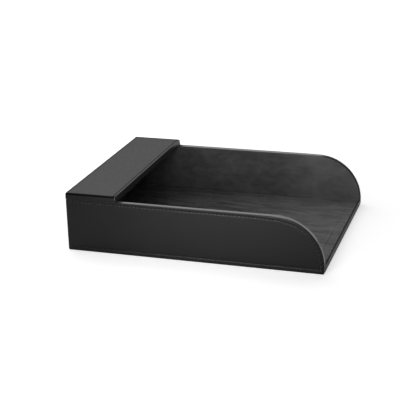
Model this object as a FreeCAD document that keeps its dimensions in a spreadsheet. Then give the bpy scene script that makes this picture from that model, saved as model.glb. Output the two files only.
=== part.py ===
import FreeCAD, Part
import math
import os
import Sketcher

# A front-loading tray for letter paper: boards wrapped in leather and lined inside.
# Millimetres. X runs across the tray, Y from the open front to the back, Z up.
# The origin is on the desk, under the middle of the tray.

os.makedirs("parts", exist_ok=True)
doc = FreeCAD.newDocument("PaperTray")

# Driving dimensions
DIMENSIONS = [
    ("width", 262.0, "outside, across both side walls"),
    ("depth", 338.0, "outside, from the front edge to the back"),
    ("wall_height", 70.0, "from the desk to the top of the side walls"),
    ("ledge_depth", 69.0, "the ledge, from its front edge to the back"),
    ("leather", 1.0, "thickness of the leather covers"),
    ("lining", 1.0, "thickness of the napped lining"),
    ("wall_board", 6.4, "thickness of the side and back boards"),
    ("base_board", 6.0, "thickness of the base board"),
    ("ledge_board", 6.0, "thickness of the ledge board"),
    ("felt", 1.2, "thickness of the felt under the base"),
    ("felt_proud", 0.2, "how far the felt stands below the leather"),
    ("felt_gap", 0.5, "between the felt and the turned-in leather round it"),
    ("edge_round", 1.2, "radius of the wrapped edges"),
    ("rim_lip", 2.5, "how far the leather comes over the rim and down inside"),
    ("front_turn", 14.0, "how far the front band reaches over the base"),
    ("under_turn", 12.0, "how far the leather is turned in under the base"),
    ("ledge_turn", 10.0, "how far the leather is turned in under the ledge"),
    ("lining_gap", 0.2, "between a lining's edge and the leather beside it"),
    ("brad_size", 1.2, "the brads' square section"),
    ("brad_length", 22.0, "the brads"),
    ("brad_clearance", 0.1, "on the section and the depth of a brad's hole"),
    ("brad_end", 24.0, "from the end of a board to the first brad"),
    ("brad_rise", 12.0, "from the base and from the rim to the brads in the back board"),
    ("base_brads", 5, "brads in a row along the base"),
    ("back_brads", 4, "brads in the row under the back board"),
    ("dowel_diameter", 3.0, "the dowels under the ledge"),
    ("dowel_length", 18.0, "the dowels under the ledge"),
    ("dowel_in_ledge", 4.0, "how far a dowel reaches into the ledge board"),
    ("dowel_clearance", 0.1, "on the diameter and the depth of a dowel's hole"),
    ("dowel_end", 15.0, "from the ledge's front and back faces to a dowel"),
]
sheet = doc.addObject("Spreadsheet::Sheet", "Sizes")
for row, (alias, size, meaning) in enumerate(DIMENSIONS, start=1):
    sheet.set(f"A{row}", meaning)
    sheet.set(f"B{row}", str(size))
    sheet.setAlias(f"B{row}", alias)
doc.recompute()

# Sizes that follow from the driving dimensions, as expressions on the sheet
HALF_WIDTH = "Sizes.width / 2"
HALF_DEPTH = "Sizes.depth / 2"
WALL = "(Sizes.leather + Sizes.wall_board + Sizes.lining)"
BAY_HALF_WIDTH = f"({HALF_WIDTH} - {WALL})"
BOARD_HALF_WIDTH = f"({HALF_WIDTH} - Sizes.leather - Sizes.wall_board)"
BOARD_HALF_DEPTH = f"({HALF_DEPTH} - Sizes.leather)"
BACK_BOARD_FRONT = f"({HALF_DEPTH} - Sizes.leather - Sizes.wall_board)"
BACK_LINING_FRONT = f"({HALF_DEPTH} - {WALL})"
LEATHER_FOOT = "Sizes.felt_proud"
BOARD_FOOT = "(Sizes.felt_proud + Sizes.leather)"
BASE_BOARD_TOP = f"({BOARD_FOOT} + Sizes.base_board)"
BASE_TOP = f"({BASE_BOARD_TOP} + Sizes.lining)"
BOARD_TOP = "(Sizes.wall_height - Sizes.leather)"
LIP_FOOT = "(Sizes.wall_height - Sizes.rim_lip)"
LINING_TOP = f"({LIP_FOOT} - Sizes.lining_gap)"
LEDGE_BOARD_FOOT = "(Sizes.wall_height + Sizes.leather)"
LEDGE_TOP = "(Sizes.wall_height + 2 * Sizes.leather + Sizes.ledge_board)"
LEDGE_FRONT = f"({HALF_DEPTH} - Sizes.ledge_depth)"

# The side wall's front corner is a quarter circle from the rim down to the base's top.
CORNER_RADIUS = f"(Sizes.wall_height - {BASE_TOP})"
CORNER_CENTRE = f"(-{HALF_DEPTH} + {CORNER_RADIUS})"


def number(expression):
    """The value that an expression on the sheet has now."""
    found = sheet.evalExpression(expression)
    return float(getattr(found, "Value", found))


def new_body(label, across="0", along="0", up="0"):
    """A body whose own origin stands at the given place in the tray."""
    body = doc.addObject("PartDesign::Body", label)
    body.Label = label
    body.setExpression("Placement.Base.x", across)
    body.setExpression("Placement.Base.y", along)
    body.setExpression("Placement.Base.z", up)
    return body


def new_sketch(body, name, role, lift):
    """A sketch parallel to one of the body's origin planes, lifted along that plane's normal."""
    plane = [item for item in body.Origin.OriginFeatures if item.Role == role][0]
    sketch = body.newObject("Sketcher::SketchObject", name)
    sketch.AttachmentSupport = [(plane, "")]
    sketch.MapMode = "FlatFace"
    sketch.setExpression("AttachmentOffset.Base.z", lift)
    return sketch


def hold_point(sketch, geometry, point, place):
    """Dimension one point of the sketch from its origin, across and up."""
    for kind, expression in (("DistanceX", place[0]), ("DistanceY", place[1])):
        rule = Sketcher.Constraint(kind, -1, 1, geometry, point, number(expression))
        index = sketch.addConstraint(rule)
        sketch.setExpression(f"Constraints[{index}]", expression)


def hold_radius(sketch, geometry, expression):
    """Dimension the radius of one circle or arc of the sketch."""
    rule = Sketcher.Constraint("Radius", geometry, number(expression))
    index = sketch.addConstraint(rule)
    sketch.setExpression(f"Constraints[{index}]", expression)


def arc_between(start, end, radius):
    """The anticlockwise arc of this radius from start to end, less than half a turn."""
    chord = end - start
    middle = start + chord * 0.5
    left = FreeCAD.Vector(-chord.y, chord.x, 0).normalize()
    rise = math.sqrt(radius**2 - (chord.Length / 2) ** 2)
    centre = middle + left * rise
    first = math.atan2(start.y - centre.y, start.x - centre.x)
    last = math.atan2(end.y - centre.y, end.x - centre.x)
    if last < first:
        last += 2 * math.pi
    circle = Part.Circle(centre, FreeCAD.Vector(0, 0, 1), radius)
    return Part.ArcOfCircle(circle, first, last)


def draw_outline(sketch, corners):
    """Draw a closed outline through the corners, anticlockwise.

    A corner is (across, up), or (across, up, radius) where an arc leads from it to the next one.
    """
    first = sketch.GeometryCount
    points = [FreeCAD.Vector(number(corner[0]), number(corner[1]), 0) for corner in corners]
    following = points[1:] + points[:1]
    for corner, start, end in zip(corners, points, following):
        if len(corner) == 3:
            sketch.addGeometry(arc_between(start, end, number(corner[2])), False)
        else:
            sketch.addGeometry(Part.LineSegment(start, end), False)
    for index, corner in enumerate(corners, start=first):
        after = index + 1 if index + 1 < first + len(corners) else first
        sketch.addConstraint(Sketcher.Constraint("Coincident", index, 2, after, 1))
        hold_point(sketch, index, 1, corner)
        if len(corner) == 3:
            hold_radius(sketch, index, corner[2])


def draw_circle(sketch, place, diameter):
    """Draw one circle at a place given by two expressions."""
    centre = FreeCAD.Vector(number(place[0]), number(place[1]), 0)
    circle = Part.Circle(centre, FreeCAD.Vector(0, 0, 1), number(diameter) / 2)
    index = sketch.addGeometry(circle, False)
    hold_point(sketch, index, 3, place)
    hold_radius(sketch, index, f"{diameter} / 2")


def draw_square(sketch, place, side):
    """Draw one square about a place given by two expressions."""
    left, right = f"{place[0]} - {side} / 2", f"{place[0]} + {side} / 2"
    foot, top = f"{place[1]} - {side} / 2", f"{place[1]} + {side} / 2"
    draw_outline(sketch, rectangle(left, right, foot, top))


def add_pad(body, sketch, length, backwards=False):
    """Raise the sketch by a length along its normal, or against it."""
    pad = body.newObject("PartDesign::Pad", f"{sketch.Name}Pad")
    pad.Profile = sketch
    pad.setExpression("Length", length)
    pad.Reversed = backwards
    doc.recompute()
    return pad


def add_pocket(body, sketch, length, forwards=False):
    """Sink the sketch by a length against its normal, or along it, and see that it cuts."""
    before = body.Tip.Shape.Volume
    pocket = body.newObject("PartDesign::Pocket", f"{sketch.Name}Pocket")
    pocket.Profile = sketch
    pocket.setExpression("Length", length)
    pocket.Reversed = forwards
    doc.recompute()
    if not pocket.Shape.Volume < before:
        raise RuntimeError(f"{body.Label}: {pocket.Name} cuts nothing")
    return pocket


def add_row(body, pocket, sketch, length, count):
    """Repeat a pocket in a row along its sketch's horizontal axis."""
    row = body.newObject("PartDesign::LinearPattern", f"{pocket.Name}Row")
    row.Originals = [pocket]
    row.Direction = (sketch, ["H_Axis"])
    row.setExpression("Length", length)
    row.setExpression("Occurrences", count)
    body.Tip = row
    doc.recompute()
    return row


def add_mirror(body, features):
    """Repeat features on the other side of the body's own YZ plane."""
    plane = [item for item in body.Origin.OriginFeatures if item.Role == "YZ_Plane"][0]
    mirror = body.newObject("PartDesign::Mirrored", f"{features[-1].Name}Mirror")
    mirror.Originals = features
    mirror.MirrorPlane = (plane, [""])
    body.Tip = mirror
    doc.recompute()
    return mirror


def round_edges(body, name, radius, wanted):
    """Round every edge of the body for which wanted(edge's box) is true."""
    base = body.Tip
    picked = []
    for index, edge in enumerate(base.Shape.Edges, start=1):
        if wanted(edge.BoundBox):
            picked.append(f"Edge{index}")
    fillet = body.newObject("PartDesign::Fillet", name)
    fillet.Base = (base, picked)
    fillet.setExpression("Radius", radius)
    body.Tip = fillet
    doc.recompute()
    return fillet


def near(first, second):
    """Whether two sizes are the same, to the accuracy of the model."""
    return abs(first - second) < 0.001


def rectangle(left, right, foot, top):
    """The four corners of an upright rectangle, for draw_outline."""
    return [(left, foot), (right, foot), (right, top), (left, top)]


def plate(label, across, along, up, thickness):
    """A flat rectangular piece lying level: its two edges each way, its underside, its thickness."""
    body = new_body(label, up=up)
    sketch = new_sketch(body, f"{label}_outline", "XY_Plane", "0")
    draw_outline(sketch, rectangle(across[0], across[1], along[0], along[1]))
    add_pad(body, sketch, thickness)
    return body


# Places of the brads and dowels
BRAD_HOLE = "(Sizes.brad_size + Sizes.brad_clearance)"
BRAD_IN_BASE = "(Sizes.brad_length - Sizes.wall_board + Sizes.brad_clearance)"
BRAD_IN_BACK = "(Sizes.brad_length - Sizes.base_board + Sizes.brad_clearance)"
BASE_BRAD_HEIGHT = f"({BOARD_FOOT} + Sizes.base_board / 2)"
BASE_BRAD_FIRST = f"(-{BOARD_HALF_DEPTH} + Sizes.brad_end)"
BASE_BRAD_ROW = f"(2 * {BOARD_HALF_DEPTH} - 2 * Sizes.brad_end)"
BACK_BOARD_MIDDLE = f"({HALF_DEPTH} - Sizes.leather - Sizes.wall_board / 2)"
BACK_BRAD_FIRST = f"(-{BOARD_HALF_WIDTH} + Sizes.brad_end)"
BACK_BRAD_ROW = f"(2 * {BOARD_HALF_WIDTH} - 2 * Sizes.brad_end)"
BACK_BRAD_HEIGHTS = [f"({BASE_TOP} + Sizes.brad_rise)", f"({BOARD_TOP} - Sizes.brad_rise)"]
DOWEL_HOLE = "(Sizes.dowel_diameter + Sizes.dowel_clearance)"
DOWEL_FROM_MIDDLE = f"({HALF_WIDTH} - Sizes.leather - Sizes.wall_board / 2)"
DOWEL_PLACES = [f"({LEDGE_FRONT} + Sizes.dowel_end)", f"({HALF_DEPTH} - Sizes.dowel_end)"]
DOWEL_FOOT = f"({LEDGE_BOARD_FOOT} + Sizes.dowel_in_ledge - Sizes.dowel_length)"


def wall_outline(inset):
    """The side wall's outline, set in from the leather's outside by an expression."""
    return [
        (f"-{HALF_DEPTH} + {inset}", f"{LEATHER_FOOT} + {inset}"),
        (f"{HALF_DEPTH} - {inset}", f"{LEATHER_FOOT} + {inset}"),
        (f"{HALF_DEPTH} - {inset}", f"Sizes.wall_height - {inset}"),
        (CORNER_CENTRE, f"Sizes.wall_height - {inset}", f"{CORNER_RADIUS} - {inset}"),
        (f"-{HALF_DEPTH} + {inset}", BASE_TOP),
    ]


def side_board(label, side):
    """A side wall's board. It carries the quarter circle, and the other boards are pinned to it."""
    inwards = -side
    body = new_body(label, across=f"{side} * ({HALF_WIDTH} - Sizes.leather)")
    outline = new_sketch(body, f"{label}_outline", "YZ_Plane", "0")
    draw_outline(outline, wall_outline("Sizes.leather"))
    add_pad(body, outline, "Sizes.wall_board", backwards=inwards < 0)

    base_hole = new_sketch(body, f"{label}_base_hole", "YZ_Plane", "0")
    draw_square(base_hole, (BASE_BRAD_FIRST, BASE_BRAD_HEIGHT), BRAD_HOLE)
    hole = add_pocket(body, base_hole, "Sizes.wall_board", forwards=inwards > 0)
    add_row(body, hole, base_hole, BASE_BRAD_ROW, "Sizes.base_brads")

    back_holes = new_sketch(body, f"{label}_back_holes", "YZ_Plane", "0")
    for height in BACK_BRAD_HEIGHTS:
        draw_square(back_holes, (BACK_BOARD_MIDDLE, height), BRAD_HOLE)
    add_pocket(body, back_holes, "Sizes.wall_board", forwards=inwards > 0)

    dowel_holes = new_sketch(body, f"{label}_dowel_holes", "XY_Plane", BOARD_TOP)
    for place in DOWEL_PLACES:
        draw_circle(dowel_holes, (f"{inwards} * Sizes.wall_board / 2", place), DOWEL_HOLE)
    add_pocket(body, dowel_holes, f"{BOARD_TOP} - {DOWEL_FOOT} + Sizes.dowel_clearance")
    return body


def side_leather(label, side):
    """The sleeve of leather on a side wall.

    It covers the outer face, goes over the rim, the quarter circle, the front and the back edge,
    ends in a lip inside the rim, and is turned in under the base.
    """
    inwards = -side
    body = new_body(label, across=f"{side} * {HALF_WIDTH}")
    outline = new_sketch(body, f"{label}_outline", "YZ_Plane", "0")
    draw_outline(outline, wall_outline("0"))
    add_pad(body, outline, WALL, backwards=inwards < 0)

    # Every edge of the outer face is rounded, and inside only the rim and the quarter circle.
    wall = number(WALL)
    base_top = number(BASE_TOP)
    foot = number(LEATHER_FOOT)

    def wrapped(box):
        outer = near(box.XMax, 0) and near(box.XMin, 0)
        inner = near(abs(box.XMax), wall) and near(abs(box.XMin), wall)
        over_base = box.ZMin > base_top - 0.001 and box.YMax - box.YMin > 0.001
        along_foot = near(box.ZMax, foot) and near(box.YMax, box.YMin)
        return outer or (inner and over_base) or along_foot

    round_edges(body, f"{label}_edges", "Sizes.edge_round", wrapped)

    board_space = new_sketch(body, f"{label}_board_space", "YZ_Plane", f"{inwards} * Sizes.leather")
    draw_outline(board_space, wall_outline("Sizes.leather"))
    add_pocket(body, board_space, "Sizes.wall_board", forwards=inwards > 0)

    # Inside, the leather leaves room for the lining, the base board's edge and the back board's end.
    window = new_sketch(
        body, f"{label}_window", "YZ_Plane", f"{inwards} * (Sizes.leather + Sizes.wall_board)"
    )
    lip_front = f"-{HALF_DEPTH} + Sizes.rim_lip"
    draw_outline(
        window,
        [
            (f"-{BOARD_HALF_DEPTH}", BOARD_FOOT),
            (BOARD_HALF_DEPTH, BOARD_FOOT),
            (BOARD_HALF_DEPTH, BOARD_TOP),
            (BACK_BOARD_FRONT, BOARD_TOP),
            (BACK_BOARD_FRONT, LIP_FOOT),
            (CORNER_CENTRE, LIP_FOOT, f"{CORNER_RADIUS} - Sizes.rim_lip"),
            (lip_front, BASE_TOP),
            (lip_front, BASE_BOARD_TOP),
            (f"-{BOARD_HALF_DEPTH}", BASE_BOARD_TOP),
        ],
    )
    add_pocket(body, window, "Sizes.lining", forwards=inwards > 0)

    # Between the front and the back turn-in, this one reaches further in under the base board.
    turn_in = new_sketch(body, f"{label}_turn_in", "XY_Plane", LEATHER_FOOT)
    reach = f"({HALF_DEPTH} - Sizes.under_turn)"
    near_edge, far_edge = WALL, "Sizes.under_turn"
    if inwards < 0:
        near_edge, far_edge = f"-{far_edge}", f"-{near_edge}"
    draw_outline(turn_in, rectangle(near_edge, far_edge, f"-{reach}", reach))
    add_pad(body, turn_in, "Sizes.leather")

    dowel_holes = new_sketch(body, f"{label}_dowel_holes", "XY_Plane", "Sizes.wall_height")
    middle = f"{inwards} * (Sizes.leather + Sizes.wall_board / 2)"
    for place in DOWEL_PLACES:
        draw_circle(dowel_holes, (middle, place), DOWEL_HOLE)
    add_pocket(body, dowel_holes, "Sizes.leather")
    return body


def side_lining(label, side):
    """The lining on a side wall's inner face, inside the leather's lip."""
    inwards = -side
    body = new_body(label, across=f"{side} * {BOARD_HALF_WIDTH}")
    outline = new_sketch(body, f"{label}_outline", "YZ_Plane", "0")
    front = f"-{HALF_DEPTH} + Sizes.rim_lip + Sizes.lining_gap"
    radius = f"{CORNER_RADIUS} - Sizes.rim_lip - Sizes.lining_gap"
    draw_outline(
        outline,
        [
            (front, BASE_BOARD_TOP),
            (BACK_BOARD_FRONT, BASE_BOARD_TOP),
            (BACK_BOARD_FRONT, LINING_TOP),
            (CORNER_CENTRE, LINING_TOP, radius),
            (front, BASE_TOP),
        ],
    )
    add_pad(body, outline, "Sizes.lining", backwards=inwards < 0)
    return body


def base_board():
    """The board under the paper, between the side boards and under the back board."""
    across = (f"-{BOARD_HALF_WIDTH}", BOARD_HALF_WIDTH)
    along = (f"-{BOARD_HALF_DEPTH}", BOARD_HALF_DEPTH)
    body = plate("base_board", across, along, BOARD_FOOT, "Sizes.base_board")

    edge_hole = new_sketch(body, "base_board_edge_hole", "YZ_Plane", f"-{BOARD_HALF_WIDTH}")
    draw_square(edge_hole, (BASE_BRAD_FIRST, "Sizes.base_board / 2"), BRAD_HOLE)
    hole = add_pocket(body, edge_hole, BRAD_IN_BASE, forwards=True)
    add_row(body, hole, edge_hole, BASE_BRAD_ROW, "Sizes.base_brads")

    # The right edge is drilled as the left one is.
    other_hole = new_sketch(body, "base_board_other_hole", "YZ_Plane", BOARD_HALF_WIDTH)
    draw_square(other_hole, (BASE_BRAD_FIRST, "Sizes.base_board / 2"), BRAD_HOLE)
    hole = add_pocket(body, other_hole, BRAD_IN_BASE)
    add_row(body, hole, other_hole, BASE_BRAD_ROW, "Sizes.base_brads")

    back_hole = new_sketch(body, "base_board_back_hole", "XY_Plane", "0")
    draw_square(back_hole, (BACK_BRAD_FIRST, BACK_BOARD_MIDDLE), BRAD_HOLE)
    hole = add_pocket(body, back_hole, "Sizes.base_board", forwards=True)
    add_row(body, hole, back_hole, BACK_BRAD_ROW, "Sizes.back_brads")
    return body


def back_board():
    """The back wall's board. It stands on the base board, between the side boards."""
    across = (f"-{BOARD_HALF_WIDTH}", BOARD_HALF_WIDTH)
    along = (BACK_BOARD_FRONT, BOARD_HALF_DEPTH)
    height = f"{BOARD_TOP} - {BASE_BOARD_TOP}"
    body = plate("back_board", across, along, BASE_BOARD_TOP, height)

    foot_hole = new_sketch(body, "back_board_foot_hole", "XY_Plane", "0")
    draw_square(foot_hole, (BACK_BRAD_FIRST, BACK_BOARD_MIDDLE), BRAD_HOLE)
    hole = add_pocket(body, foot_hole, BRAD_IN_BACK, forwards=True)
    add_row(body, hole, foot_hole, BACK_BRAD_ROW, "Sizes.back_brads")

    end_holes = new_sketch(body, "back_board_end_holes", "YZ_Plane", f"-{BOARD_HALF_WIDTH}")
    for brad_height in BACK_BRAD_HEIGHTS:
        place = (BACK_BOARD_MIDDLE, f"{brad_height} - {BASE_BOARD_TOP}")
        draw_square(end_holes, place, BRAD_HOLE)
    holes = add_pocket(body, end_holes, BRAD_IN_BASE, forwards=True)
    add_mirror(body, [holes])
    return body


def ledge_board():
    """The ledge's board, on top of the side and back walls."""
    half = f"({HALF_WIDTH} - Sizes.leather)"
    along = (f"{LEDGE_FRONT} + Sizes.leather", BOARD_HALF_DEPTH)
    body = plate("ledge_board", (f"-{half}", half), along, LEDGE_BOARD_FOOT, "Sizes.ledge_board")

    dowel_holes = new_sketch(body, "ledge_board_dowel_holes", "XY_Plane", "0")
    for place in DOWEL_PLACES:
        draw_circle(dowel_holes, (DOWEL_FROM_MIDDLE, place), DOWEL_HOLE)
    depth = "Sizes.dowel_in_ledge + Sizes.dowel_clearance"
    holes = add_pocket(body, dowel_holes, depth, forwards=True)
    add_mirror(body, [holes])
    return body


def ledge_leather():
    """The ledge's cover: over the top and all four edges, and turned in underneath."""
    along = (LEDGE_FRONT, HALF_DEPTH)
    height = f"{LEDGE_TOP} - Sizes.wall_height"
    body = plate(
        "ledge_leather", (f"-{HALF_WIDTH}", HALF_WIDTH), along, "Sizes.wall_height", height
    )
    top = number(height)
    front = number(LEDGE_FRONT)

    def wrapped(box):
        upper = near(box.ZMin, top)
        upright = near(box.ZMin, 0) and near(box.ZMax, top)
        lower_front = near(box.ZMax, 0) and near(box.YMax, front)
        return upper or upright or lower_front

    round_edges(body, "ledge_leather_edges", "Sizes.edge_round", wrapped)

    half = f"({HALF_WIDTH} - Sizes.leather)"
    board_space = new_sketch(body, "ledge_leather_board_space", "XY_Plane", "Sizes.leather")
    draw_outline(
        board_space, rectangle(f"-{half}", half, f"{LEDGE_FRONT} + Sizes.leather", BOARD_HALF_DEPTH)
    )
    add_pocket(body, board_space, "Sizes.ledge_board", forwards=True)

    opening = new_sketch(body, "ledge_leather_opening", "XY_Plane", "0")
    half = f"({HALF_WIDTH} - Sizes.ledge_turn)"
    front_turn = f"{LEDGE_FRONT} + Sizes.ledge_turn"
    back_turn = f"{HALF_DEPTH} - Sizes.ledge_turn"
    draw_outline(opening, rectangle(f"-{half}", half, front_turn, back_turn))
    add_pocket(body, opening, "Sizes.leather", forwards=True)

    dowel_holes = new_sketch(body, "ledge_leather_dowel_holes", "XY_Plane", "0")
    for place in DOWEL_PLACES:
        draw_circle(dowel_holes, (DOWEL_FROM_MIDDLE, place), DOWEL_HOLE)
        draw_circle(dowel_holes, (f"-{DOWEL_FROM_MIDDLE}", place), DOWEL_HOLE)
    add_pocket(body, dowel_holes, "Sizes.leather", forwards=True)
    return body


def back_leather():
    """The back wall's cover, between the two side covers: one section run across the tray."""
    body = new_body("back_leather", across=f"-{BAY_HALF_WIDTH}")
    section = new_sketch(body, "back_leather_section", "YZ_Plane", "0")
    draw_outline(
        section,
        [
            (f"{HALF_DEPTH} - Sizes.under_turn", LEATHER_FOOT),
            (HALF_DEPTH, LEATHER_FOOT),
            (HALF_DEPTH, "Sizes.wall_height"),
            (BACK_LINING_FRONT, "Sizes.wall_height"),
            (BACK_LINING_FRONT, LIP_FOOT),
            (BACK_BOARD_FRONT, LIP_FOOT),
            (BACK_BOARD_FRONT, BOARD_TOP),
            (BOARD_HALF_DEPTH, BOARD_TOP),
            (BOARD_HALF_DEPTH, BOARD_FOOT),
            (f"{HALF_DEPTH} - Sizes.under_turn", BOARD_FOOT),
        ],
    )
    add_pad(body, section, f"2 * {BAY_HALF_WIDTH}")
    back = number(HALF_DEPTH)
    foot = number(LEATHER_FOOT)

    def wrapped(box):
        return near(box.YMin, back) and near(box.ZMax, foot)

    round_edges(body, "back_leather_edge", "Sizes.edge_round", wrapped)
    return body


def front_edge_leather():
    """The band round the base's front edge, between the two side covers."""
    body = new_body("front_edge_leather", across=f"-{BAY_HALF_WIDTH}")
    section = new_sketch(body, "front_edge_leather_section", "YZ_Plane", "0")
    draw_outline(
        section,
        [
            (f"-{HALF_DEPTH}", LEATHER_FOOT),
            (f"-{HALF_DEPTH} + Sizes.under_turn", LEATHER_FOOT),
            (f"-{HALF_DEPTH} + Sizes.under_turn", BOARD_FOOT),
            (f"-{BOARD_HALF_DEPTH}", BOARD_FOOT),
            (f"-{BOARD_HALF_DEPTH}", BASE_BOARD_TOP),
            (f"-{HALF_DEPTH} + Sizes.front_turn", BASE_BOARD_TOP),
            (f"-{HALF_DEPTH} + Sizes.front_turn", BASE_TOP),
            (f"-{HALF_DEPTH}", BASE_TOP),
        ],
    )
    add_pad(body, section, f"2 * {BAY_HALF_WIDTH}")
    front = -number(HALF_DEPTH)

    def wrapped(box):
        lengthwise = box.XMax - box.XMin > 1
        return lengthwise and near(box.YMax, front)

    round_edges(body, "front_edge_leather_edges", "Sizes.edge_round", wrapped)
    return body


def brad(name, centre, run):
    """A square brad whose section is centred on a place and which runs on from there along X or Z."""
    box = doc.addObject("Part::Box", name)
    half = "Sizes.brad_size / 2"
    lengths = {"X": "Sizes.brad_size", "Y": "Sizes.brad_size", "Z": "Sizes.brad_size"}
    lengths[run[-1]] = "Sizes.brad_length"
    starts = [f"{place} - {half}" for place in centre]
    index = "XYZ".index(run[-1])
    starts[index] = centre[index] if run[0] == "+" else f"{centre[index]} - Sizes.brad_length"
    box.setExpression("Length", lengths["X"])
    box.setExpression("Width", lengths["Y"])
    box.setExpression("Height", lengths["Z"])
    for axis, start in zip("xyz", starts):
        box.setExpression(f"Placement.Base.{axis}", start)
    return box


def group(label, members):
    """One node made of separate pieces that are alike."""
    compound = doc.addObject("Part::Compound", label)
    compound.Label = label
    compound.Links = members
    doc.recompute()
    return compound


def cross_brads(name, along, up):
    """A pair of brads driven through the two side boards, towards each other."""
    start = f"({HALF_WIDTH} - Sizes.leather)"
    left = brad(f"{name}_left", (f"-{start}", along, up), "+X")
    right = brad(f"{name}_right", (start, along, up), "-X")
    return [left, right]


def in_row(first, length, count, index):
    """The place of one brad in an even row."""
    return f"{first} + {length} * {index} / ({count} - 1)"


def base_side_brads():
    """The brads through the side boards into the base board's edges."""
    brads = []
    for index in range(int(number("Sizes.base_brads"))):
        along = in_row(BASE_BRAD_FIRST, BASE_BRAD_ROW, "Sizes.base_brads", index)
        brads += cross_brads(f"base_brad_{index + 1}", along, BASE_BRAD_HEIGHT)
    return group("base_side_brads", brads)


def back_side_brads():
    """The brads through the side boards into the back board's ends."""
    brads = []
    for index, height in enumerate(BACK_BRAD_HEIGHTS, start=1):
        brads += cross_brads(f"back_brad_{index}", BACK_BOARD_MIDDLE, height)
    return group("back_side_brads", brads)


def back_foot_brads():
    """The brads up through the base board into the back board."""
    brads = []
    for index in range(int(number("Sizes.back_brads"))):
        across = in_row(BACK_BRAD_FIRST, BACK_BRAD_ROW, "Sizes.back_brads", index)
        place = (across, BACK_BOARD_MIDDLE, BOARD_FOOT)
        brads.append(brad(f"foot_brad_{index + 1}", place, "+Z"))
    return group("back_foot_brads", brads)


def ledge_dowels():
    """The dowels between the ledge board and the side boards."""
    dowels = []
    for side, sign in (("left", "-"), ("right", "")):
        for index, along in enumerate(DOWEL_PLACES, start=1):
            dowel = doc.addObject("Part::Cylinder", f"dowel_{side}_{index}")
            dowel.setExpression("Radius", "Sizes.dowel_diameter / 2")
            dowel.setExpression("Height", "Sizes.dowel_length")
            dowel.setExpression("Placement.Base.x", f"{sign}{DOWEL_FROM_MIDDLE}")
            dowel.setExpression("Placement.Base.y", along)
            dowel.setExpression("Placement.Base.z", DOWEL_FOOT)
            dowels.append(dowel)
    return group("ledge_dowels", dowels)


LEFT = -1
RIGHT = 1
pieces = [
    base_board(),
    side_board("left_side_board", LEFT),
    side_board("right_side_board", RIGHT),
    back_board(),
    ledge_board(),
    side_leather("left_side_leather", LEFT),
    side_leather("right_side_leather", RIGHT),
    back_leather(),
    front_edge_leather(),
    ledge_leather(),
    side_lining("left_side_lining", LEFT),
    side_lining("right_side_lining", RIGHT),
    base_side_brads(),
    back_side_brads(),
    back_foot_brads(),
    ledge_dowels(),
]

# The base lining lies between the side linings, from the front band to the back lining.
base_lining_edge = f"({BAY_HALF_WIDTH} - Sizes.lining_gap)"
base_lining_front = f"-{HALF_DEPTH} + Sizes.front_turn + Sizes.lining_gap"
base_lining_back = f"{BACK_LINING_FRONT} - Sizes.lining_gap"
pieces.append(
    plate(
        "base_lining",
        (f"-{base_lining_edge}", base_lining_edge),
        (base_lining_front, base_lining_back),
        BASE_BOARD_TOP,
        "Sizes.lining",
    )
)

# The back lining stands on the base board, between the side linings.
pieces.append(
    plate(
        "back_lining",
        (f"-{base_lining_edge}", base_lining_edge),
        (BACK_LINING_FRONT, BACK_BOARD_FRONT),
        BASE_BOARD_TOP,
        f"{LINING_TOP} - {BASE_BOARD_TOP}",
    )
)

# The ledge lining fills the opening that the ledge's turned-in leather leaves.
ledge_lining_edge = f"({HALF_WIDTH} - Sizes.ledge_turn - Sizes.lining_gap)"
pieces.append(
    plate(
        "ledge_lining",
        (f"-{ledge_lining_edge}", ledge_lining_edge),
        (
            f"{LEDGE_FRONT} + Sizes.ledge_turn + Sizes.lining_gap",
            f"{HALF_DEPTH} - Sizes.ledge_turn - Sizes.lining_gap",
        ),
        f"{LEDGE_BOARD_FOOT} - Sizes.lining",
        "Sizes.lining",
    )
)

# The felt fills the opening that the leather leaves under the base, and the tray stands on it.
felt_side = f"({HALF_WIDTH} - Sizes.under_turn - Sizes.felt_gap)"
felt_end = f"({HALF_DEPTH} - Sizes.under_turn - Sizes.felt_gap)"
pieces.append(
    plate(
        "bottom_felt",
        (f"-{felt_side}", felt_side),
        (f"-{felt_end}", felt_end),
        f"{BOARD_FOOT} - Sizes.felt",
        "Sizes.felt",
    )
)

doc.recompute()
for item in doc.Objects:
    if "Invalid" in item.State or "Error" in item.State:
        raise RuntimeError(f"{item.Label} did not recompute: {item.State}")
for piece in pieces:
    if piece.Shape.isNull() or not piece.Shape.isValid():
        raise RuntimeError(f"{piece.Label} has no valid shape")
for piece in pieces:
    piece.Shape.exportStep(f"parts/{piece.Label}.step")
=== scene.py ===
import math
import random

import bmesh
import bpy
from mathutils import Matrix, Vector, noise


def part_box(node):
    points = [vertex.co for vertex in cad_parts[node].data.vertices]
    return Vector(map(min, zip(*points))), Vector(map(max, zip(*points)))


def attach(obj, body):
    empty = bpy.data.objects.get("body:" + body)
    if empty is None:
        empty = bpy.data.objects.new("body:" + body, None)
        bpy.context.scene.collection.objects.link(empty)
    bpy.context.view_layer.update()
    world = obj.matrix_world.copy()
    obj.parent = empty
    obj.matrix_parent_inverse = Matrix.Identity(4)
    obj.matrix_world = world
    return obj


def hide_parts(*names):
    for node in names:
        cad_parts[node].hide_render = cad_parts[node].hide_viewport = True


bl_info = {
    "name": "Leather letter tray",
    "version": (1, 0, 0),
    "blender": (4, 5, 0),
    "location": "3D View > Sidebar > Tray",
    "description": "Stitched leather, napped lining and a studio for the letter tray",
    "category": "Object",
}

MM = 0.001
LEFT = -1
RIGHT = 1
SIDE_NAMES = {LEFT: "left", RIGHT: "right"}

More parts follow.
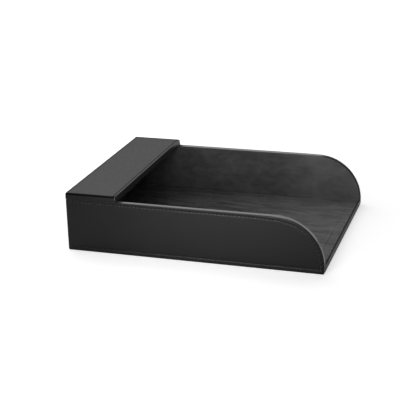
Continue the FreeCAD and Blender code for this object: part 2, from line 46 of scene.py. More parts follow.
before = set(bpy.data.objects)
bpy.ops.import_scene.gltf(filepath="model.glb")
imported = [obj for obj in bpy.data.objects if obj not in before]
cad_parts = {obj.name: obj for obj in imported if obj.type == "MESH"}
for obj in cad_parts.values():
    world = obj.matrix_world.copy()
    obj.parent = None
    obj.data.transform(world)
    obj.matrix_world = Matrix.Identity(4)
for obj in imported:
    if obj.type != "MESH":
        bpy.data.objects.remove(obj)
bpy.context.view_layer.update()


def node_box(node):
    """The lowest and highest corner of a node, as vectors."""
    low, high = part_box(node)
    return Vector(low), Vector(high)


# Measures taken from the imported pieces
SIDE_LOW, SIDE_HIGH = node_box("left_side_leather")
BAND_LOW, BAND_HIGH = node_box("front_edge_leather")
LEDGE_LOW, LEDGE_HIGH = node_box("ledge_leather")
BACK_LOW, BACK_HIGH = node_box("back_leather")
LEDGE_LINING_LOW, LEDGE_LINING_HIGH = node_box("ledge_lining")
BASE_LINING_LOW, BASE_LINING_HIGH = node_box("base_lining")
BACK_LINING_FRONT = node_box("back_lining")[0].y
FELT_LOW, FELT_HIGH = node_box("bottom_felt")
CORNER_RADIUS = SIDE_HIGH.z - BAND_HIGH.z
OUTER_X = SIDE_LOW.x
INNER_X = BAND_LOW.x
WALL = INNER_X - OUTER_X

# Where along Y the straight rim starts to bend down into the quarter circle
BEND = SIDE_LOW.y + CORNER_RADIUS

# The leather's thickness, its reach down inside a rim, and its distance from the felt panel
LEATHER = 1.0 * MM
RIM_LIP = 2.5 * MM
FELT_GAP = 0.5 * MM

# A stitched channel goes no deeper than its limit, so that the board stays covered
CHANNEL_LIMIT = 0.8 * MM
CHANNEL_REACH = 2.2 * MM

# The outer face lies this deep, so that its unevenness and its threads stay within the tray's size
FACE_DEPTH = 0.12 * MM

# Places along Y between which the linings are painted paler towards the open front: painted light, standing
# in for the light that reaches further in there
PAINTED_LIGHT_SPAN = (-72 * MM, -125 * MM)


def size_setting(name, description, default):
    """A size that a user may change, with its default in millimetres."""
    return bpy.props.FloatProperty(name=name, description=description, default=default * MM, unit="LENGTH")


def colour_setting(name, description, default):
    """A colour that a user may change."""
    return bpy.props.FloatVectorProperty(name=name, description=description, default=default, subtype="COLOR")


def angle_setting(name, description, default):
    """An angle that a user may change, with its default in degrees."""
    default = math.radians(default)
    return bpy.props.FloatProperty(name=name, description=description, default=default, subtype="ANGLE")


def power_setting(name, description, default):
    """A lamp's power that a user may change."""
    return bpy.props.FloatProperty(name=name, description=description, default=default, unit="POWER")


class TraySizes(bpy.types.PropertyGroup):
    """Sizes of the leather work that a user may change."""

    edge_round: size_setting("Edge rounding", "Radius of the leather where it wraps an edge", 1.25)
    foot_round: size_setting(
        "Foot rounding", "Radius of the leather where it turns in under a side wall", 0.6
    )
    rim_round: size_setting(
        "Rim rounding", "How far in from the outer face the rim rounds off where it starts to bend down", 0.9
    )
    rim_drop: size_setting("Rim drop", "How far down the outer face the rim's rounding reaches", 2.0)
    rim_crisp: size_setting(
        "Straight rim rounding", "Radius of the rim's outer edge along its straight run", 0.5
    )
    lip_round: size_setting("Lip rounding", "Radius of the rim's inner edge, where the lining starts", 0.45)
    lip_back: size_setting(
        "Lip set-back", "From the rim's leather to the inner face of the wall's lining", 0.35
    )
    cove: size_setting("Lining cove", "Radius with which a wall's lining runs out on to the base", 1.6)
    front_margin: size_setting(
        "Front margin", "From the base's front edge to the lined strip behind it", 2.1
    )
    pressed_edge: size_setting(
        "Pressed edge", "Radius of the leather where two wrapped boards meet", 0.3
    )
    corner_round: size_setting(
        "Corner rounding", "Radius of the side wall's corners, seen from the side", 1.9
    )
    stitch_pitch: size_setting("Stitch length", "From one needle hole to the next", 5.08)
    stitch_inset: size_setting("Stitch margin", "From the leather's edge to the row of stitches", 4.4)
    thread_radius: size_setting("Thread radius", "Radius of the sewing thread", 0.42)
    stitch_gap: size_setting("Stitch gap", "From a needle hole to the end of the thread that shows", 1.05)
    channel_depth: size_setting("Channel depth", "How far the stitches pull the leather in", 0.45)
    end_lean: size_setting("Ledge end lean", "How far the ledge's end faces roll in towards the top", 1.6)
    front_lean: size_setting(
        "Ledge front lean", "How far the ledge's front face leans back towards the top", 0.85
    )
    ledge_edge: size_setting("Ledge edge", "Radius of the ledge's upper edges", 0.5)
    ledge_inset: size_setting(
        "Ledge stitch margin", "From the ledge's front edge to its row of stitches", 3.85
    )
    ledge_groove: size_setting(
        "Ledge groove", "Depth of the groove that the ledge's front stitching lies in", 1.3
    )
    unevenness: size_setting("Unevenness", "How far the leather departs from flat over its board", 0.05)


class TrayColours(bpy.types.PropertyGroup):
    """Colours that a user may change."""

    leather: colour_setting("Leather", "Colour of the leather covers", (0.006, 0.006, 0.0063))
    thread: colour_setting("Thread", "Colour of the sewing thread", (0.075, 0.075, 0.0765))
    lining: colour_setting("Lining", "Colour of the napped lining", (0.091, 0.0902, 0.091))
    felt: colour_setting("Felt", "Colour of the felt under the base", (0.02, 0.02, 0.021))
    board: colour_setting("Board", "Colour of the fibreboard inside the covers", (0.42, 0.31, 0.2))
    floor: colour_setting("Floor", "Colour of the studio floor", (0.86, 0.86, 0.86))


class TrayStudio(bpy.types.PropertyGroup):
    """Where the camera stands and how bright the studio is."""

    azimuth: angle_setting("Azimuth", "Camera's direction about the tray, from the open front", -72.139)
    elevation: angle_setting("Elevation", "Camera's height above the floor, as an angle", 19.712)
    roll: angle_setting("Roll", "Camera's turn about its own line of sight", -1.429)
    distance: size_setting("Distance", "From the camera to the point it looks at", 1526.3)
    target: bpy.props.FloatVectorProperty(
        name="Target",
        description="The point that the camera looks at",
        default=(0.0, 29.668 * MM, 34.707 * MM),
        subtype="TRANSLATION",
    )
    lens: bpy.props.FloatProperty(
        name="Lens", description="Focal length in millimetres on a 36 mm sensor", default=100.727
    )
    window: power_setting("Window", "Power of the large softbox behind the tray's back wall", 7.8)
    top: power_setting("Top light", "Power of the softbox above the far side", 3.65)
    fill: power_setting(
        "Fill light", "Power of the softbox between the camera and the open front", 0.95
    )
    near: power_setting("Near light", "Power of the small softbox close to the near side wall", 0.152)
    backdrop: bpy.props.FloatProperty(
        name="Backdrop", description="Brightness of the white backdrop on the far side", default=0.626
    )
    floor_glow: bpy.props.FloatProperty(
        name="Floor white point",
        description="What the camera sees of the floor besides the light that falls on it",
        default=0.62,
    )


# Node groups and materials


def feed(tree, node, inputs):
    """Fill a node's inputs, by name or number, with plain values or from other nodes' outputs."""
    for key, value in inputs.items():
        if isinstance(value, bpy.types.NodeSocket):
            tree.links.new(value, node.inputs[key])
        else:
            node.inputs[key].default_value = value
    return node


def add_node(tree, kind, inputs, **settings):
    """A new node with its settings and its inputs."""
    node = tree.nodes.new(kind)
    for key, value in settings.items():
        setattr(node, key, value)
    return feed(tree, node, inputs)


def find_node(tree, kind):
    """The tree's own node of a type."""
    return next(node for node in tree.nodes if node.type == kind)


def maths(tree, operation, first, second):
    """The result of a Math node; each operand is a number or an output."""
    return add_node(tree, "ShaderNodeMath", {0: first, 1: second}, operation=operation).outputs[0]


def vector_maths(tree, operation, *operands):
    """The result of a Vector Math node, which is a number for a dot product or a length."""
    node = add_node(tree, "ShaderNodeVectorMath", dict(enumerate(operands)), operation=operation)
    return node.outputs["Value" if operation in ("DOT_PRODUCT", "LENGTH") else "Vector"]


def remap(tree, value, low, high, new_low, new_high):
    """Map a value from one range to another, held inside the new one."""
    inputs = {"Value": value, "From Min": low, "From Max": high, "To Min": new_low, "To Max": new_high}
    return add_node(tree, "ShaderNodeMapRange", inputs).outputs["Result"]


def new_group(name, knob, value, outputs):
    """An empty node group: a vector and one knob go in, and factors come out.

    Gives its tree, the sockets of what goes in, and the node that takes what comes out.
    """
    tree = bpy.data.node_groups.new(name, "ShaderNodeTree")
    tree.interface.new_socket("Vector", in_out="INPUT", socket_type="NodeSocketVector")
    kind = "NodeSocketFloat" if isinstance(value, float) else "NodeSocketVector"
    tree.interface.new_socket(knob, in_out="INPUT", socket_type=kind).default_value = value
    for label in outputs:
        tree.interface.new_socket(label, in_out="OUTPUT", socket_type="NodeSocketFloat")
    entry = tree.nodes.new("NodeGroupInput")
    leave = tree.nodes.new("NodeGroupOutput")
    return tree, entry.outputs["Vector"], entry.outputs[knob], leave


def grain_group(name):
    """Leather grain: small rounded pebbles between fine creases."""
    tree, place, scale, leave = new_group(name, "Pebbles per metre", 900.0, ("Height", "Creases"))
    bend = add_node(tree, "ShaderNodeTexNoise", {"Vector": place, "Scale": 260.0, "Detail": 2.0})
    bent = vector_maths(tree, "MULTIPLY_ADD", bend.outputs["Color"], (0.0012, 0.0012, 0.0012), place)
    cells = {"Vector": bent, "Scale": scale}
    crease = add_node(tree, "ShaderNodeTexVoronoi", cells, feature="DISTANCE_TO_EDGE")
    pebble = add_node(tree, "ShaderNodeTexVoronoi", {}, feature="SMOOTH_F1")
    feed(tree, pebble, {**cells, "Smoothness": 0.45})
    valley = remap(tree, crease.outputs["Distance"], 0.0, 0.16, 0.0, 1.0)
    dome = remap(tree, pebble.outputs["Distance"], 0.0, 0.7, 1.0, 0.0)
    fine = add_node(tree, "ShaderNodeTexNoise", {"Vector": place, "Scale": 5200.0, "Detail": 2.0})
    rough = maths(tree, "MULTIPLY", fine.outputs["Fac"], 0.3)
    height = maths(tree, "ADD", maths(tree, "MULTIPLY", dome, valley), rough)
    feed(tree, leave, {"Height": height, "Creases": remap(tree, valley, 0.0, 0.6, 1.0, 0.0)})


def mottle_group(name):
    """Slow, cloudy change over a surface, from 0 to 1, in two sizes."""
    tree, place, scale, leave = new_group(name, "Clouds per metre", 30.0, ("Broad", "Close"))
    close_scale = maths(tree, "MULTIPLY", scale, 9.0)
    kinds = (("Broad", scale, 3.0, 0.55), ("Close", close_scale, 4.0, 0.6))
    for label, size, detail, roughness in kinds:
        inputs = {"Vector": place, "Scale": size, "Detail": detail, "Roughness": roughness}
        clouds = add_node(tree, "ShaderNodeTexNoise", inputs).outputs["Fac"]
        feed(tree, leave, {label: remap(tree, clouds, 0.3, 0.7, 0.0, 1.0)})


def nap_group(name):
    """The pile of a napped cloth: soft streaks where it lies one way or the other, and fine fibres."""
    tree, place, streaks, leave = new_group(name, "Streaks", (60.0, 12.0, 60.0), ("Lie", "Fibres"))
    stretched = vector_maths(tree, "MULTIPLY", place, streaks)
    inputs = {"Vector": stretched, "Scale": 1.0, "Detail": 5.0, "Roughness": 0.68, "Distortion": 0.5}
    streak = add_node(tree, "ShaderNodeTexNoise", inputs).outputs["Fac"]
    inputs = {"Vector": place, "Scale": 3200.0, "Detail": 3.0, "Roughness": 0.7}
    fibre = add_node(tree, "ShaderNodeTexNoise", inputs).outputs["Fac"]
    feed(tree, leave, {"Lie": remap(tree, streak, 0.36, 0.64, 0.0, 1.0), "Fibres": fibre})


GROUP_MAKERS = {"Leather grain": grain_group, "Mottle": mottle_group, "Nap": nap_group}


def place_group(tree, name, inputs):
    """The outputs of a node group placed in a material's tree; the group is built the first time."""
    if name not in bpy.data.node_groups:
        GROUP_MAKERS[name](name)
    node = tree.nodes.new("ShaderNodeGroup")
    node.node_tree = bpy.data.node_groups[name]
    return feed(tree, node, inputs).outputs


def built_once(make):
    """Let a maker of materials give back the one of that name where it is there already."""

    def maker(name, *details):
        return bpy.data.materials.get(name) or make(name, *details)

    return maker


def new_material(name, viewport):
    """A new Principled material with its tree, its shader and the piece's own coordinates."""
    material = bpy.data.materials.new(name)
    material.use_nodes = True
    material.diffuse_color = (*viewport, 1.0)
    tree = material.node_tree
    place = tree.nodes.new("ShaderNodeTexCoord").outputs["Object"]
    return material, tree, find_node(tree, "BSDF_PRINCIPLED"), place


def mix_colours(tree, factor, first, second):
    """A colour that goes from the first to the second as a factor goes from 0 to 1."""
    inputs = {"Factor": factor, "A": first, "B": second}
    return add_node(tree, "ShaderNodeMix", inputs, data_type="RGBA").outputs["Result"]


def tint(tree, colour, factor, dark, light):
    """A colour that goes from dark to light times its own value as a factor goes from 0 to 1."""
    ends = [(*(min(part * level, 1.0) for part in colour), 1.0) for level in (dark, light)]
    return mix_colours(tree, factor, *ends)


def bump(tree, height, strength, distance):
    """The normal of a surface with a height."""
    inputs = {"Height": height, "Strength": strength, "Distance": distance}
    return add_node(tree, "ShaderNodeBump", inputs).outputs["Normal"]


@built_once
def leather_material(name, colour):
    """Smooth, dyed cover leather with a low, fine grain.

    The piece's Polish goes from -1, where the leather is dull, to 1, where hands have burnished it.
    """
    material, tree, shader, place = new_material(name, colour)
    grain = place_group(tree, "Leather grain", {"Vector": place, "Pebbles per metre": 820.0})
    mottle = place_group(tree, "Mottle", {"Vector": place, "Clouds per metre": 24.0})
    polish = add_node(tree, "ShaderNodeAttribute", {}, attribute_name="Polish").outputs["Fac"]
    matt = remap(tree, mottle["Close"], 0.0, 1.0, 0.38, 0.46)
    creased = maths(tree, "ADD", matt, maths(tree, "MULTIPLY", grain["Creases"], 0.06))
    burnished = remap(tree, polish, 0.0, 1.0, 1.0, 0.5)
    dull = remap(tree, polish, -1.0, 0.0, 1.6, 1.0)
    finish = {
        "Base Color": tint(tree, colour, mottle["Broad"], 0.85, 1.2),
        "Roughness": maths(tree, "MULTIPLY", creased, maths(tree, "MULTIPLY", burnished, dull)),
        "IOR": 1.5,
        "Coat Weight": maths(tree, "MAXIMUM", polish, 0.0),
        "Coat Roughness": 0.12,
        "Coat IOR": 1.8,
        "Normal": bump(tree, grain["Height"], 0.22, 0.12 * MM),
    }
    feed(tree, shader, finish)
    return material


@built_once
def thread_material(name, colour):
    """Twisted sewing thread."""
    material, tree, shader, place = new_material(name, colour)
    mottle = place_group(tree, "Mottle", {"Vector": place, "Clouds per metre": 300.0})
    turns = add_node(tree, "ShaderNodeUVMap", {}, uv_map="Twist").outputs["UV"]
    inputs = {"Vector": turns, "Scale": 1.0}
    twist = add_node(tree, "ShaderNodeTexWave", inputs, bands_direction="DIAGONAL").outputs["Fac"]
    finish = {
        "Base Color": tint(tree, colour, mottle["Close"], 0.8, 1.3),
        "Roughness": 0.55,
        "Sheen Weight": 0.25,
        "Normal": bump(tree, twist, 0.5, 0.15 * MM),
    }
    feed(tree, shader, finish)
    return material


@built_once
def edge_paint_material(name, colour):
    """Dull paint on a cut edge of leather."""
    material, tree, shader, place = new_material(name, colour)
    mottle = place_group(tree, "Mottle", {"Vector": place, "Clouds per metre": 90.0})
    finish = {
        "Base Color": tint(tree, colour, mottle["Close"], 0.3, 0.7),
        "Roughness": remap(tree, mottle["Close"], 0.0, 1.0, 0.6, 0.75),
        "Specular IOR Level": 0.12,
    }
    feed(tree, shader, finish)
    return material


@built_once
def nap_material(name, colour, streaks, contrast, painted_light=None):
    """Napped cloth whose pile lies in streaks.

    The last argument holds two places along Y, between which the cloth is painted paler towards the front:
    painted light, standing in for the light that falls more strongly there.
    """
    material, tree, shader, place = new_material(name, colour)
    nap = place_group(tree, "Nap", {"Vector": place, "Streaks": streaks})
    mottle = place_group(tree, "Mottle", {"Vector": place, "Clouds per metre": 14.0})
    lie = maths(tree, "MULTIPLY", nap["Lie"], 0.6)
    patch = maths(tree, "MULTIPLY", mottle["Broad"], 0.2)
    fleck = maths(tree, "MULTIPLY", mottle["Close"], 0.2)
    lay = maths(tree, "ADD", maths(tree, "ADD", lie, patch), fleck)
    shade = tint(tree, colour, lay, 1.0 - contrast, 1.0 + contrast)
    if painted_light:
        # Painted light: how much paler the cloth is painted towards the open front, where more light falls;
        # the mottle makes the boundary ragged
        paler = 1.7
        apart = add_node(tree, "ShaderNodeSeparateXYZ", {0: place})
        ragged = maths(tree, "MULTIPLY", mottle["Broad"], 30 * MM)
        along = maths(tree, "SUBTRACT", apart.outputs["Y"], ragged)
        painted_paler = tint(tree, colour, lay, paler - contrast, paler + contrast)
        shade = mix_colours(tree, remap(tree, along, *painted_light, 0.0, 1.0), shade, painted_paler)
    finish = {
        "Base Color": shade,
        "Roughness": 0.92,
        "Specular IOR Level": 0.2,
        "Sheen Weight": 0.22,
        "Sheen Roughness": 0.45,
        "Normal": bump(tree, nap["Fibres"], 0.35, 0.2 * MM),
    }
    feed(tree, shader, finish)
    return material


@built_once
def board_material(name, colour, streaks):
    """Bare board or wood, which the covers hide."""
    material, tree, shader, place = new_material(name, colour)
    nap = place_group(tree, "Nap", {"Vector": place, "Streaks": streaks})
    finish = {
        "Base Color": tint(tree, colour, nap["Lie"], 0.8, 1.15),
        "Roughness": 0.8,
        "Normal": bump(tree, nap["Fibres"], 0.2, 0.1 * MM),
    }
    feed(tree, shader, finish)
    return material


@built_once
def steel_material(name, colour):
    """Bare drawn steel of the brads."""
    material, tree, shader, place = new_material(name, colour)
    mottle = place_group(tree, "Mottle", {"Vector": place, "Clouds per metre": 200.0})
    finish = {
        "Base Color": tint(tree, colour, mottle["Close"], 0.8, 1.1),
        "Roughness": 0.35,
        "Metallic": 1.0,
    }
    feed(tree, shader, finish)
    return material


def flat_lining(colours):
    """The napped lining where it lies flat."""
    return nap_material("Lining laid flat", tuple(colours.lining), (120.0, 24.0, 120.0), 0.9, PAINTED_LIGHT_SPAN)


def cover_leather(context):
    """The covers' leather in the user's colour."""
    return leather_material("Cover leather", tuple(context.scene.tray_colours.leather))


def give_material(node, material):
    """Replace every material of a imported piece."""
    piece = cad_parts[node]
    if not piece.material_slots:
        piece.data.materials.append(material)
    for place in piece.material_slots:
        place.material = material


# Measuring and blending


def clamp(value, low=0.0, high=1.0):
    """The value, held between low and high."""
    return min(max(value, low), high)


def blend(first, second, share):
    """The value at a share of the way from the first to the second."""
    return first + (second - first) * share


def smooth_step(value, low, high):
    """0 below low, 1 above high, and smooth between."""
    share = clamp((value - low) / (high - low))
    return share * share * (3 - 2 * share)


def bell(distance, width):
    """1 at no distance, falling smoothly to nothing over about twice the width on both sides."""
    return math.exp(-((distance / width) ** 2))


def lengths_along(points):
    """How far each point lies along the line through the points."""
    found = [0.0]
    for before, after in zip(points, points[1:]):
        found.append(found[-1] + (Vector(after) - Vector(before)).length)
    return found


def resample(points, count):
    """count + 1 points evenly along a line."""
    along = lengths_along(points)
    result = []
    index = 0
    for step in range(count + 1):
        wanted = along[-1] * step / count
        while index < len(points) - 2 and along[index + 1] < wanted:
            index += 1
        span = along[index + 1] - along[index]
        share = (wanted - along[index]) / span if span > 0 else 0.0
        result.append(Vector(points[index]).lerp(Vector(points[index + 1]), share))
    return result


def needle_holes(run, pitch):
    """Places of the needle holes along a line of points, which whole stitches fill."""
    return resample(run, max(round(lengths_along(run)[-1] / pitch), 1))


def turn(centre, radius, start, end, steps=8):
    """Points on an arc, by angles in degrees."""
    angles = [math.radians(start + (end - start) * step / steps) for step in range(steps + 1)]
    return [(centre[0] + radius * math.cos(a), centre[1] + radius * math.sin(a)) for a in angles]


def rough_height(place, size, seed):
    """Slow unevenness of leather or cloth that is glued to a board, about zero."""
    bumps_per_metre = 28.0
    return size * noise.noise(Vector(place) * bumps_per_metre + Vector((seed, seed * 0.7, -seed)))


# Mesh work


def new_mesh(name, vertices, faces):
    """A mesh from places and the numbers of each face's corners."""
    mesh = bpy.data.meshes.new(name)
    mesh.from_pydata([tuple(vertex) for vertex in vertices], [], faces)
    return mesh


def place_piece(name, mesh, material, slot, nodes=()):
    """Put a mesh into the scene as a piece that rides on the tray and stands for the nodes it names."""
    mesh.shade_smooth()
    mesh.materials.append(material)
    piece = bpy.data.objects.new(name, mesh)
    bpy.context.scene.collection.objects.link(piece)
    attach(piece, "root")
    if nodes:
        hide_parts(*nodes)


def add_piece(name, vertices, faces, material, slot, nodes=(), polish=()):
    """Make a piece with its doubled points merged and its faces turned outwards.

    polish gives for each vertex its leather's finish, from -1 for dull to 1 for burnished.
    """
    mesh = new_mesh(name, vertices, faces)
    shape = bmesh.new()
    shape.from_mesh(mesh)
    layer = shape.verts.layers.float.new("Polish")
    for vertex, level in zip(shape.verts, polish):
        vertex[layer] = level
    bmesh.ops.remove_doubles(shape, verts=shape.verts, dist=0.002 * MM)
    bmesh.ops.dissolve_degenerate(shape, edges=shape.edges, dist=0.001 * MM)
    bmesh.ops.recalc_face_normals(shape, faces=shape.faces)
    shape.to_mesh(mesh)
    shape.free()
    place_piece(name, mesh, material, slot, nodes)


def strip_faces(first, second, size, indices=None):
    """Faces between two closed rows of points, given by the numbers of their first points.

    indices says between which points there are faces, if not all round.
    """
    faces = []
    for index in range(size) if indices is None else indices:
        after = (index + 1) % size
        faces.append([first + index, first + after, second + after, second + index])
    return faces


def tube_faces(size, rows, first=0):
    """The faces of a closed tube with its ends, whose rows have as many points each."""
    last = first + (rows - 1) * size
    faces = [list(range(first, first + size)), list(range(last, last + size))]
    for row in range(first, last, size):
        faces += strip_faces(row, row + size, size)
    return faces


def swept(profile, left, right, spacing):
    """A closed profile of (y, z) points run across the tray, with closed ends."""
    count = max(round((right - left) / spacing), 1)
    vertices = []
    for step in range(count + 1):
        x = left + (right - left) * step / count
        vertices += [Vector((x, point[0], point[1])) for point in profile]
    return vertices, tube_faces(len(profile), count + 1)


def rounded_profile(corners):
    """A closed profile through (y, z, radius) corners, with the corners rounded."""
    places = [Vector(corner[:2]) for corner in corners]
    steps = 6
    points = []
    for index, here in enumerate(places):
        radius = corners[index][2]
        if radius <= 0:
            points.append(here)
            continue
        start = here + (places[index - 1] - here).normalized() * radius
        end = here + (places[(index + 1) % len(places)] - here).normalized() * radius
        for step in range(steps + 1):
            share = step / steps
            points.append(start * (1 - share) ** 2 + here * 2 * share * (1 - share) + end * share**2)
    return points


def lines_between(low, high, radius, spacing):
    """Cutting lines from low to high, close together where the edges are rounded."""
    close = [radius * share for share in (0.0, 0.12, 0.3, 0.55, 1.0)]
    span = high - low - 2 * radius
    count = max(round(span / spacing), 1)
    middle = [low + radius + span * step / count for step in range(1, count)]
    return [low + step for step in close] + middle + [high - step for step in reversed(close)]


def round_edges(place, low, high, foot_radius, radius):
    """Where a point on the surface of a plain block lies once the block's edges are rounded."""
    local = blend(foot_radius, radius, (place.z - low.z) / (high.z - low.z))
    core = Vector(
        (
            clamp(place.x, low.x + local, high.x - local),
            clamp(place.y, low.y + local, high.y - local),
            clamp(place.z, low.z + foot_radius, high.z - radius),
        )
    )
    away = place - core
    return core + away.normalized() * local if away.length > 0 else place


def slab(low, high, radius, spacing, foot_radius=None, extra=()):
    """A board-like block between two corners, with rounded edges, as (vertices, faces).

    foot_radius is the rounding below. extra holds further cutting lines across the Y direction.
    """
    foot_radius = radius if foot_radius is None else foot_radius
    radii = (radius, radius, min(radius, (high.z - low.z) / 2.01))
    cuts = [lines_between(*measures) for measures in zip(low, high, radii, spacing)]
    cuts[1] = sorted({*cuts[1], *extra})
    numbers = {}
    faces = []
    for axis in range(3):
        one, two = [other for other in range(3) if other != axis]
        for end in (0, len(cuts[axis]) - 1):
            for a in range(len(cuts[one]) - 1):
                for b in range(len(cuts[two]) - 1):
                    face = []
                    for step_a, step_b in ((0, 0), (1, 0), (1, 1), (0, 1)):
                        key = [end, end, end]
                        key[one] = a + step_a
                        key[two] = b + step_b
                        face.append(numbers.setdefault(tuple(key), len(numbers)))
                    faces.append(face)
    places = [Vector([lines[step] for lines, step in zip(cuts, key)]) for key in numbers]
    return [round_edges(place, low, high, foot_radius, radius) for place in places], faces


# Side walls

# How many steps the runs of a side wall's outline have, and where the rim's points start and end
FOOT_STEPS, FRONT_STEPS, RIM_STEPS, BACK_STEPS = 520, 150, 432, 100
RIM_START = FOOT_STEPS
RIM_END = FOOT_STEPS + FRONT_STEPS + RIM_STEPS

# The rows of points on a side cover: how far in from the edge on the outer face, in millimetres,
# angles round the outer edge, shares of the way in on the rim, and angles round the rim's lip
OUTER_INSETS = (30, 22, 16, 12, 9, 7.4, 6.6, 6.1, 5.7, 5.4, 5.05, 4.7, 4.4, 4.1, 3.75, 3.4, 3.1, 2.8, 2.4)
EDGE_ANGLES = (0, 18, 36, 54, 72, 90)
RIM_SHARES = (0.1, 0.2, 0.3, 0.42, 0.6, 0.8)
LIP_ANGLES = (90, 66, 42, 20, 0)

# The soft upper edge of a wall's lining: how far below the rim and how deep, in millimetres
LINING_EDGE = ((1.2, 1.0), (0.6, 0.95), (0.35, 0.7), (0.35, 0.4), (0.55, 0.12), (1.0, 0.0))

# Rounding of the flat linings' edges, and the spacing of their cutting lines
SHEET_ROUND = 0.35 * MM
SHEET_SPACING = (4 * MM, 4 * MM, 4 * MM)


def wall_runs(inset, corner):
    """The side wall's outline, set in, as four lines of (y, z) points that share their ends.

    They are the foot from back to front, the front with its quarter circle, the rim from there to
    the back, and the back from top to foot.
    """
    front, back = SIDE_LOW.y + inset, SIDE_HIGH.y - inset
    foot, top = SIDE_LOW.z + inset, SIDE_HIGH.z - inset
    centre = (BEND, SIDE_HIGH.z - CORNER_RADIUS)
    radius = CORNER_RADIUS - inset
    curve = max(corner - inset, 0.05 * MM)
    back_foot = (back - curve, foot + curve)
    back_top = (back - curve, top - curve)
    foot_run = turn(back_foot, curve, -45, -90)
    if foot + curve < centre[1]:
        front_foot = (front + curve, foot + curve)
        foot_run += turn(front_foot, curve, -90, -135)
        front_run = turn(front_foot, curve, -135, -180) + turn(centre, radius, 180, 90, 90)
    else:
        rise = math.degrees(math.asin((foot - centre[1]) / radius))
        front_run = turn(centre, radius, 180 - rise, 90, 90)
        foot_run.append(front_run[0])
    rim_run = [front_run[-1]] + turn(back_top, curve, 90, 45)
    back_run = turn(back_top, curve, 45, 0) + turn(back_foot, curve, 0, -45)
    return foot_run, front_run, rim_run, back_run


def wall_ring(inset, corner):
    """The set-in outline as one closed ring of evenly spread points."""
    ring = []
    for run, steps in zip(wall_runs(inset, corner), (FOOT_STEPS, FRONT_STEPS, RIM_STEPS, BACK_STEPS)):
        ring += resample(run, steps)[:-1]
    return ring


def inward_normals(ring):
    """For each point of a clockwise ring in (y, z), the direction into the wall."""
    normals = []
    for before, after in zip(ring[-1:] + ring[:-1], ring[1:] + ring[:1]):
        along = after - before
        normals.append(Vector((along.y, -along.x)).normalized())
    return normals


def row_shift(y, z):
    """How far the stitches of a side wall run nearer to its edge than their margin.

    The top row runs nearer along the straight rim and swings away where the rim starts to bend. The
    foot row keeps further off.
    """
    along_rim = 1.0 * smooth_step(y, BEND - 5 * MM, BEND + 27 * MM)
    swing = 0.6 * bell(y - BEND + 15 * MM, 12 * MM)
    high = smooth_step(z, 40 * MM, 60 * MM)
    low = 1 - smooth_step(z, SIDE_LOW.z + 6 * MM, SIDE_LOW.z + 14 * MM)
    return ((along_rim - swing) * high - 1.3 * low) * MM


def stitch_counts(sizes):
    """For each point of the outline, how many stitches lie between its run's start and the point."""
    foot, front, rim, back = wall_runs(sizes.stitch_inset, sizes.corner_round)
    runs = ((foot, FOOT_STEPS), (front + rim[1:], FRONT_STEPS + RIM_STEPS), (back, BACK_STEPS))
    counts = []
    for run, steps in runs:
        stitches = len(needle_holes(run, sizes.stitch_pitch)) - 1
        counts += [stitches * step / steps for step in range(steps)]
    return counts


def channel(distance, along, pitch, depth, width=0.8 * MM):
    """How far the leather is drawn in at a distance from the stitch line and a place along it."""
    if abs(distance) > CHANNEL_REACH:
        return 0.0
    to_hole = abs((along / pitch + 0.5) % 1.0 - 0.5) * pitch
    dimple = bell(to_hole, 0.75 * MM) * bell(distance, 0.7 * MM)
    return min(depth * (0.65 * bell(distance, width) + 1.5 * dimple), CHANNEL_LIMIT)


def face_depth(side, index, place, inset, stitches, sizes):
    """How deep a side wall's outer face lies at a place, so many stitches along its run."""
    uneven = rough_height((side, place.x, place.y), sizes.unevenness, 3.0 + side)
    if index >= RIM_END:
        return FACE_DEPTH + uneven
    pitch = sizes.stitch_pitch
    distance = inset - sizes.stitch_inset + row_shift(place.x, place.y)
    drawn = channel(distance, stitches * pitch, pitch, sizes.channel_depth)
    drawn *= smooth_step(SIDE_HIGH.y - place.x, sizes.stitch_inset, sizes.stitch_inset + 3 * MM)
    return FACE_DEPTH + drawn + uneven


def edge_radius(index, place, at_bend, sizes):
    """Radius of the leather's edge at a point of the outline, given what it is at the rim's bend."""
    if index < RIM_START:
        return sizes.foot_round
    if index > RIM_END or (place.y < SIDE_HIGH.z - 5 * MM and place.x > 0):
        return sizes.edge_round
    bent = smooth_step(BEND - place.x, -38 * MM, 3 * MM)
    on_rim = blend(min(at_bend, sizes.rim_crisp), at_bend, bent)
    radius = blend(sizes.edge_round, on_rim, smooth_step(place.y, SIDE_LOW.z, SIDE_LOW.z + 22 * MM))
    under_ledge = smooth_step(place.x, LEDGE_LOW.y - 3 * MM, LEDGE_LOW.y + 0.5 * MM)
    return blend(radius, sizes.pressed_edge, under_ledge)


def pleat(index, place):
    """How deep the small pleats are in which the rim's leather starts to bend down."""
    if index < RIM_START or place.y < SIDE_HIGH.z - 20 * MM:
        return 0.0
    past = BEND - place.x
    return 0.14 * MM * bell(past - 9 * MM, 8 * MM) * (1 - math.cos(2 * math.pi * past / (3.3 * MM)))


def burnish(place, share):
    """The rim's polish at a share of the way in from its outer edge.

    Only its inner part is burnished, and its whole width where it starts to bend down. By the ledge
    it is dull.
    """
    narrow = 1 - bell(BEND - place.x - 8 * MM, 15 * MM)
    level = 1 - 1.7 * narrow * (1 - smooth_step(share, 0.1, 0.42))
    by_ledge = smooth_step(place.x, LEDGE_LOW.y - 6 * MM, LEDGE_LOW.y - 2 * MM)
    return blend(level, -1.0, by_ledge)


def worn_polish(side, index, place, level):
    """The polish that is left at a point of the outline: there is none outside the front and the rim.

    Papers are lifted in and out past the left wall, so the right wall's bend is never burnished.
    """
    if not RIM_START <= index <= RIM_END:
        return 0.0
    unworn = 0.0 if side == LEFT else smooth_step(BEND - place.x, 2 * MM, 16 * MM)
    return blend(level, -1.0, unworn)


def face_rows(side, sizes):
    """A side cover's outer face, as rows of (place, depth, polish) points."""
    stitches = stitch_counts(sizes)
    for inset in OUTER_INSETS:
        row = []
        for index, place in enumerate(wall_ring(inset * MM, sizes.corner_round)):
            depth = face_depth(side, index, place, inset * MM, stitches[index], sizes)
            row.append((place, depth, 0.0))
        yield row


